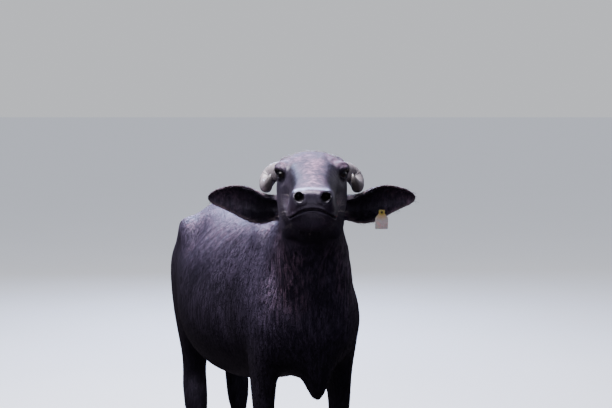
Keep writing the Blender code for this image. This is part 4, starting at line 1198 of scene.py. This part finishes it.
def scatterRoots(hideFacts, thickness, count, rng):
    # thickness gives how dense the hair is at each point of the skin
    perSheet = thickness[hideFacts["corners"]].mean(axis=1) * hideFacts["area"]
    chosen = rng.choice(len(perSheet), size=count, p=perSheet / perSheet.sum())
    first, second = rng.random(count), rng.random(count)
    flipped = first + second > 1
    first[flipped], second[flipped] = 1 - first[flipped], 1 - second[flipped]
    shares = np.column_stack([1 - first - second, first, second])
    corners = hideFacts["corners"][chosen]

    def mixed(values):
        return (values * shares[..., None]).sum(axis=1)

    roots = {
        "points": mixed(hideFacts["points"][corners]),
        "normals": unit(mixed(hideFacts["normals"][corners])),
        "unwrapped": mixed(hideFacts["unwrapped"][chosen]),
    }
    for name, values in hideFacts["values"].items():
        roots[name] = (values[corners] * shares).sum(axis=1)
    return roots


def lieOf(roots):
    # which way the hair lies: back over the face, out along the ears, down and back on the body
    left = toHead(roots["points"])[:, 0]
    aside, count = np.sign(left), len(left)
    overFace = np.column_stack([0.3 * aside, -np.ones(count), -0.45 * ramp(0.02, 0.08, np.abs(left))])
    alongEar = np.column_stack([aside, np.full(count, -0.1), np.full(count, 0.1)])
    onBody = np.tile([0.0, 0.5, -1.0], (count, 1))
    ear, face = roots["ear"][:, None], (roots["face"] * (1 - roots["ear"]))[:, None]
    lie = onBody * (1 - ear) * (1 - face) + (overFace @ headTurn.T) * face + (alongEar @ headTurn.T) * ear
    return squared(lie, roots["normals"])


def turned(vectors, axes, angles):
    return (vectors * np.cos(angles)[:, None]
            + np.cross(axes, vectors) * np.sin(angles)[:, None])


def followSkin(start, normals, lie, reach):
    # how far the skin rises from the flat, half way along each hair and at its tip
    rises = []
    for share in (0.5, 1.0):
        ahead = start + lie * (reach * share)[:, None]
        found = np.array([skinTree.find_nearest(Vector(place), 0.03)[0] or place for place in ahead.tolist()])
        rises.append(((found - ahead) * normals).sum(axis=1))
    half, full = rises
    return 4 * half - full, 2 * full - 4 * half


def buildBlades(roots, lie, style, rng):
    # each tuft's blades fan out from one root; a blade is a thin three-sided taper
    blades, steps = style["blades"], style["steps"]
    count = len(roots["points"]) * blades
    start = np.repeat(roots["points"], blades, axis=0)
    normals = np.repeat(roots["normals"], blades, axis=0)
    lie = np.repeat(lie, blades, axis=0)
    ripple = style.get("ripple", 0.14) * waves(start, 9, 31)
    lie = turned(lie, normals, ripple + rng.normal(0, style["fan"], count))
    across = np.cross(normals, lie)
    start = start + across * rng.normal(0, style["width"] * 1.4, count)[:, None]
    reach = style["length"] * rng.uniform(0.6, 1.15, count)
    width = style["width"] * rng.uniform(0.7, 1.2, count)
    lift = style["lift"] * rng.uniform(0.5, 1.4, count)
    bend = lift * style.get("lay", 0.75)
    curl = rng.normal(0, style.get("curl", 0.08), count)
    drop = style.get("hang", 0.0)
    slope = hollow = np.zeros(count)
    if style.get("follows", True):
        slope, hollow = followSkin(start, normals, lie, reach)
    rings = []
    for step in range(steps + 1):
        share = step / steps
        along = reach * share
        height = (lift * share - bend * share ** 2) * reach - style["sink"] * (1 - share)
        middle = (start + lie * along[:, None] + normals * height[:, None]
                  + normals * (slope * share + hollow * share ** 2)[:, None]
                  + across * (curl * share ** 2 * reach)[:, None])
        middle[:, 2] -= drop * reach * share ** 2
        if step == steps:
            rings.append(middle[:, None, :])
            continue
        thick = width * (1 - 0.75 * share ** 1.5)
        rings.append(np.stack([
            middle + across * thick[:, None] - normals * (thick * 0.25)[:, None],
            middle + normals * (thick * 0.45)[:, None],
            middle - across * thick[:, None] - normals * (thick * 0.25)[:, None],
        ], axis=1))
    points = np.concatenate(rings, axis=1)
    each = steps * 3 + 1
    faces = [(0, 1, 2)]
    for step in range(steps - 1):
        low, high = step * 3, step * 3 + 3
        for turn in range(3):
            after = (turn + 1) % 3
            faces += [(low + turn, high + turn, high + after), (low + turn, high + after, low + after)]
    last = (steps - 1) * 3
    faces += [(last + turn, each - 1, last + (turn + 1) % 3) for turn in range(3)]
    faces = (np.array(faces)[None] + (np.arange(count) * each)[:, None, None]).reshape(-1, 3)

    # each tuft keeps a small patch of the skin's unwrap, round its root
    patch = 0.0015
    share = np.concatenate([np.repeat(np.arange(steps) / steps, 3), [1.0]])
    sideways = np.concatenate([np.tile([-1.0, 0.0, 1.0], steps), [0.0]])
    blade = np.tile(np.arange(blades), len(roots["points"])) - (blades - 1) / 2
    home = np.repeat(roots["unwrapped"], blades, axis=0)
    mapped = np.stack([
        home[:, :1] + patch * (blade[:, None] + 0.45 * sideways[None]) / max(blades, 1) * 1.6,
        home[:, 1:] + patch * (2 * share[None] - 1 + 0.08 * np.abs(sideways[None])),
    ], axis=2).reshape(-1, 2)
    return points.reshape(-1, 3), faces, mapped, each


def makeCoatPiece(name, roots, lie, style, seed, material, replaced=()):
    rng = np.random.default_rng(seed)
    points, faces, mapped, each = buildBlades(roots, lie, style, rng)
    mesh = bpy.data.meshes.new(name)
    mesh.vertices.add(len(points))
    mesh.vertices.foreach_set("co", points.reshape(-1))
    mesh.loops.add(faces.size)
    mesh.loops.foreach_set("vertex_index", faces.reshape(-1).astype(np.int32))
    mesh.polygons.add(len(faces))
    mesh.polygons.foreach_set("loop_start", np.arange(0, faces.size, 3, dtype=np.int32))
    mesh.polygons.foreach_set("use_smooth", np.ones(len(faces), bool))
    layer = mesh.uv_layers.new(name="OFBake")
    layer.uv.foreach_set("vector", mapped[faces.reshape(-1)].reshape(-1))
    mesh.update(calc_edges=True)
    mesh.validate()
    piece = newPiece(name, mesh)
    for value in ("dust", "deep", "rim", "level", "face"):
        writeValues(piece, value, np.repeat(roots[value] * style.get(value, 1.0), style["blades"] * each))
    writeValues(piece, "tone", np.repeat(rng.random(len(roots["points"])), style["blades"] * each))
    finishPiece(piece, material, replaced)
    print(name, len(faces), "triangles")
    return piece


def growHair(hideFacts, name, thickness, style, seeds, material):
    # a lean mixes the skin's own outward way with the lie of the hair
    roots = scatterRoots(hideFacts, thickness, style["tufts"], np.random.default_rng(seeds[0]))
    lie = lieOf(roots)
    if "lean" in style:
        outward, flat = style["lean"]
        lie = unit(roots["normals"] * outward + lie * flat)
    makeCoatPiece(name, roots, lie, style, seeds[1], material)


def bodyBands(points, normals, face):
    # the stretches of the body that have a piece of coat each
    x, y, z = points.T
    body = 1 - ramp(0.35, 0.65, face)
    legs = 1 - ramp(0.50, 0.62, z)
    onLeft = x > spineAside + 0.02 * (y < -0.3)
    trunk = body * (1 - legs)
    bands = {"coatNeck": trunk * (y < -0.36) * (0.9 + 0.5 * (normals[:, 2] > 0.4))}
    for name, start, end in (("coatShoulder", -0.36, 0.02), ("coatBarrel", 0.02, 0.48)):
        for sideName, onSide in (("Left", onLeft), ("Right", ~onLeft)):
            bands[name + sideName] = trunk * (y >= start) * (y < end) * onSide
    bands["coatRump"] = trunk * (y >= 0.48)
    bands["coatLegs"] = body * legs * (z > 0.055)
    return bands


bodyHair = {"blades": 2, "steps": 2, "fan": 0.16, "sink": 0.0012, "slot": "hide"}
shoulderHair = {"length": 0.020, "width": 0.00058, "lift": 0.10, "tufts": 7400}
barrelHair = {"length": 0.018, "width": 0.00056, "lift": 0.08, "tufts": 6900}
coatSetup = {
    "coatNeck": {"length": 0.023, "width": 0.00062, "lift": 0.13, "tufts": 8400},
    "coatShoulderLeft": shoulderHair,
    "coatShoulderRight": shoulderHair,
    "coatBarrelLeft": barrelHair,
    "coatBarrelRight": barrelHair,
    "coatRump": dict(barrelHair, tufts=7800),
    "coatLegs": {"length": 0.015, "width": 0.0006, "lift": 0.13, "tufts": 7600},
}


def makeCoat(hideFacts, hideCoat):
    values = hideFacts["values"]
    bands = bodyBands(hideFacts["points"], hideFacts["normals"], values["face"] + values["ear"])
    for number, (name, band) in enumerate(bands.items()):
        style = dict(bodyHair, **coatSetup[name])
        growHair(hideFacts, name, band.astype(float), style, (100 + number, 200 + number), hideCoat)


def headBands(hideFacts):
    # where each piece of hair on the head grows, and how thickly
    places = toHead(hideFacts["points"])
    facing = hideFacts["normals"] @ headTurn
    left, ahead, up = places.T
    aside = np.abs(left)
    values = hideFacts["values"]
    face = values["face"] * (1 - values["ear"]) * (1 - values["wet"])
    awayFromEyes = np.ones(len(places))
    for side, _ in bothSides:
        awayFromEyes *= ramp(0.020, 0.030, aroundEye(places, side)[2])
    lips = 1 - hump(mouthHeight(places), 0.008) * (ahead > 0.2)
    poll = face * ramp(-0.03, -0.08, ahead) * ramp(0.35, 0.75, facing[:, 2])
    cup = values["ear"] * ramp(0.1, 0.5, facing[:, 1])
    chin = face * ramp(0.17, 0.22, ahead) * (1 - ramp(-0.01, 0.0, up)) * lips
    return {
        "coatFace": face * awayFromEyes * lips * (0.35 + 0.65 * (1 - ramp(0.1, 0.3, ahead))),
        "coatPoll": poll * (1 - ramp(0.07, 0.11, aside)),
        "hairInEars": cup * (0.10 + hump(aside - 0.14, 0.045)),
        "hairOnEarEdges": values["ear"] * hump(facing[:, 1], 0.35),
        "hairBehindEars": values["ear"] * ramp(0.1, 0.4, -facing[:, 1]),
        "whiskers": chin * (0.15 + hump(aside - 0.07, 0.022)),
    }


headHair = {"blades": 2, "steps": 2, "fan": 0.2, "sink": 0.0008, "slot": "face_hide"}
headCoatSetup = {
    "coatFace": {"tufts": 5600, "length": 0.0080, "width": 0.00032, "lift": 0.16},
    # longer, paler hair that stands a little
    "coatPoll": {
        "tufts": 700, "steps": 3, "length": 0.021, "width": 0.00030, "lift": 0.45, "fan": 0.5, "curl": 0.25,
        "sink": 0.001, "lay": 0.6, "level": 0.0, "pale": True,
    },
    "hairInEars": {
        "tufts": 2000, "steps": 3, "length": 0.022, "width": 0.00036, "lift": 0.34, "fan": 0.35, "curl": 0.2,
        "lay": 0.5, "rim": 0.0,
    },
    "hairOnEarEdges": {
        "tufts": 3800, "length": 0.0052, "width": 0.00024, "lift": 0.1, "deep": 0.5, "follows": False,
        "lean": (0.5, 0.8),
    },
    "hairBehindEars": {"tufts": 2600, "length": 0.0085, "width": 0.0004, "lift": 0.12},
    "whiskers": {
        "tufts": 170, "blades": 1, "steps": 4, "length": 0.040, "width": 0.00024, "lift": 0.0, "fan": 0.15,
        "sink": 0.001, "hang": 0.18, "follows": False, "lean": (1, 0.35), "pale": True,
    },
}


def makeHeadCoat(hideFacts, hideCoat, paleCoat):
    for number, (name, band) in enumerate(headBands(hideFacts).items()):
        style = dict(headHair, **headCoatSetup[name])
        seed = 300 + 10 * number
        growHair(hideFacts, name, band, style, (seed, seed + 1), paleCoat if "pale" in style else hideCoat)
    print("head coat made")


lashSetup = {
    "count": 46,
    "reach": 0.92,  # how near the lid's corners they come
    "style": {
        "blades": 2, "steps": 4, "length": 0.017, "width": 0.0003, "lift": -0.25, "lay": 2.2, "fan": 0.12,
        "sink": 0.0, "ripple": 0.0, "follows": False,
    },
}


def makeLashes(hideFacts, material):
    # upper lashes on each eye, rooted along the edge of the lid
    rooted = {name: [] for name in ("points", "normals", "lie")}
    reach = eyeSetup["radius"] + eyeSetup["lid"] * 0.6
    for side, _ in bothSides:
        centre, along, outward, upward = eyeAxes(side)
        for number in range(lashSetup["count"]):
            share = lashSetup["reach"] * (2 * number / (lashSetup["count"] - 1) - 1)
            height = (1 - 0.35 * share ** 2) * math.sqrt(max(1 - share ** 2, 0))
            place = (outward * share * eyeSetup["halfWidth"] * 1.03
                     + upward * height * eyeSetup["halfHeight"] * 1.06)
            place = unit(place + along * math.sqrt(max(reach ** 2 - place @ place, 0))) * reach
            rooted["points"].append(fromHead(centre + place))
            rooted["normals"].append(headTurn @ unit(upward + 0.2 * along))
            rooted["lie"].append(headTurn @ unit(along + outward * share * 0.7 - upward * 0.15))
    roots = {name: np.array(values) for name, values in rooted.items()}
    nearest = np.array([np.argmin(length(hideFacts["points"] - point)) for point in roots["points"]])
    sheets = {corner: sheet for sheet, corner in enumerate(hideFacts["corners"][:, 0])}
    roots["unwrapped"] = np.array([hideFacts["unwrapped"][sheets.get(corner, 0), 0] for corner in nearest])
    for name, values in hideFacts["values"].items():
        roots[name] = values[nearest]
    lie = roots.pop("lie")
    roots["normals"] = squared(roots["normals"], lie)
    makeCoatPiece("lashes", roots, lie, lashSetup["style"], 361, material)


switchSetup = {
    "locks": 520,
    "top": 0.500,
    "end": 0.236,
    "margin": 0.02,  # how far round the solid switch the roots may lie
    "style": {
        "blades": 3, "steps": 7, "width": 0.0011, "lift": 0.07, "lay": 1.35, "fan": 0.05, "curl": 0.05,
        "sink": 0.001, "ripple": 0.0, "follows": False,
    },
}


def makeSwitch(hideFacts, material):
    # the tail's switch: long hair that leaves the last of the tail and hangs to a point
    rng = np.random.default_rng(400)
    low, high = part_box("tail_switch")
    middle = middleOf("tail_switch")
    count, top, margin = [switchSetup[key] for key in ("locks", "top", "margin")]
    x, y, z = hideFacts["points"].T
    tailEnd = (z < top + 0.05) & (y > low.y - margin) & (x < high.x + margin) & (x > low.x - margin)
    thickness = tailEnd * (1 - ramp(top, top + 0.05, z) * 0.8)
    roots = scatterRoots(hideFacts, thickness.astype(float), count, rng)
    lie = unit(np.tile([0.0, 0.0, -1.0], (count, 1)) + rng.normal(0, 0.035, (count, 3)))
    out = roots["points"][:, :2] - np.array([middle.x, middle.y])
    normals = unit(np.column_stack([out, np.zeros(count)]) + rng.normal(0, 0.2, (count, 3)) * [1, 1, 0])
    roots["normals"] = squared(normals, lie)
    drop = roots["points"][:, 2] - switchSetup["end"]
    style = switchSetup["style"]
    style = dict(style, length=drop.repeat(style["blades"]) * 0.9)
    makeCoatPiece("tailSwitch", roots, lie, style, 401, material, ["tail_switch"])


def makeHairLook(name, dark, light, share):
    material, tree, shader = newMaterial(name, {"Roughness": 0.45, "Specular IOR Level": 0.4})
    colour = layerColours(tree, dark, [(painted(tree, "tone"), share - 0.12, share + 0.12, light)])
    setInputs(tree, shader, {"Base Color": colour})
    return material


hideCoat = makeHide("hideCoat", isCoat=True)
paleCoat = makeHairLook("paleHair", (0.22, 0.19, 0.195, 1), (0.030, 0.025, 0.030, 1), 0.55)
darkHair = makeHairLook("darkHair", (0.006, 0.005, 0.005, 1), (0.028, 0.021, 0.018, 1), 0.6)
unwrapSkin(skin)
hideFacts = readSkin(skin)
skinTree = BVHTree.FromPolygons(hideFacts["points"].tolist(), hideFacts["corners"].tolist())
makeCoat(hideFacts, hideCoat)
makeHeadCoat(hideFacts, hideCoat, paleCoat)
makeLashes(hideFacts, darkHair)
makeSwitch(hideFacts, darkHair)
skin.data.uv_layers.remove(skin.data.uv_layers[rootMap])


# Camera, floor and light

viewSetup = {
    "lens": 64.7,
    "away": 3.40,
    "aside": -0.0185,
    "height": 1.681,
    "down": 4.988,
    "turn": 18,
}


def makeCamera():
    turn = math.radians(viewSetup["turn"])
    forward = Vector((math.sin(turn), math.cos(turn), 0))
    right = Vector((math.cos(turn), -math.sin(turn), 0))
    between = (middleOf("eye_left") + middleOf("eye_right")) / 2
    place = between - forward * viewSetup["away"] + right * viewSetup["aside"]
    place.z = viewSetup["height"]
    bpy.ops.object.camera_add(location=place, rotation=(math.radians(90 - viewSetup["down"]), 0, -turn))
    camera = bpy.context.object
    camera.data.lens = viewSetup["lens"]
    camera.data.sensor_width = 36
    camera.data.clip_end = 200
    bpy.context.scene.camera = camera


lightSetup = {
    "backdrop": (0.66, 0.675, 0.71, 1),
    "skyAbove": (0.15, 0.19, 0.30, 1),
    "groundBelow": (0.052, 0.044, 0.056, 1),
    "floorGlow": 0.52,
    "floorReach": 300,
    "floorColours": ((0.56, 0.56, 0.56, 1), (0.60, 0.60, 0.60, 1)),
}
# where each light hangs, what it faces, its size, its strength and its colour
lamps = {
    "overhead": ((-1.05, -0.15, 4.6), (0, 0, 1.1), 2.3, 760, (1.0, 0.95, 0.99)),
    "left": ((-4.2, -2.2, 3.0), (-0.1, -0.5, 1.1), 2.4, 48, (1.0, 0.96, 0.98)),
    "behind": ((1.1, 4.6, 3.8), (0, 0.5, 1.1), 2.8, 620, (0.50, 0.62, 1.0)),
    "fill": ((4.5, 0.5, 2.6), (0, 0, 0.9), 4.0, 30, (0.97, 0.92, 1.0)),
    "front": ((-0.9, -3.3, 1.9), (-0.1, -0.9, 1.45), 1.4, 19, (1.0, 0.93, 0.97)),
}


def makeFloor():
    # the floor and the sky behind it are pale, and neither throws its paleness up at the animal
    deselectAll()
    bpy.ops.mesh.primitive_circle_add(vertices=96, radius=lightSetup["floorReach"], fill_type="NGON",
                                      location=(0, 0, 0))
    floor = bpy.context.object
    floor.name = "floor"
    material, tree, shader = newMaterial("paleFloor", {
        "Roughness": 0.9, "Specular IOR Level": 0.1, "Emission Color": (0.93, 0.95, 1.0, 1),
        "Emission Strength": lightSetup["floorGlow"],
    })
    mottle = spread(tree, noise(tree, objectPlace(tree), 0.7, 4), 0.3, 0.7)
    setInputs(tree, shader, {"Base Color": blendColours(tree, mottle, *lightSetup["floorColours"])})
    floor.data.materials.append(material)
    floor.visible_diffuse = False
    floor.visible_glossy = False


def addLight(name, place, target, size, energy, colour):
    bpy.ops.object.light_add(type="AREA", location=place)
    light = bpy.context.object
    light.name = name
    light.data.shape = "DISK"
    light.data.size = size
    light.data.energy = energy
    light.data.color = colour
    light.visible_camera = False
    light.rotation_euler = (Vector(target) - Vector(place)).to_track_quat("-Z", "Y").to_euler()


def makeLight():
    world = bpy.data.worlds.new("studio")
    bpy.context.scene.world = world
    world.use_nodes = True
    tree = world.node_tree
    direction = addNode(tree, "ShaderNodeTexCoord").outputs["Generated"]
    height = addNode(tree, "ShaderNodeSeparateXYZ", {0: direction}).outputs["Z"]
    soft = layerColours(tree, lightSetup["groundBelow"], [(height, -0.05, 0.75, lightSetup["skyAbove"])])
    seen = addNode(tree, "ShaderNodeLightPath").outputs["Is Camera Ray"]
    colour = blendColours(tree, seen, soft, lightSetup["backdrop"])
    setInputs(tree, tree.nodes["Background"], {"Color": colour})
    for name, values in lamps.items():
        addLight(name, *values)


makeCamera()
makeFloor()
makeLight()
print("camera, floor and light made")
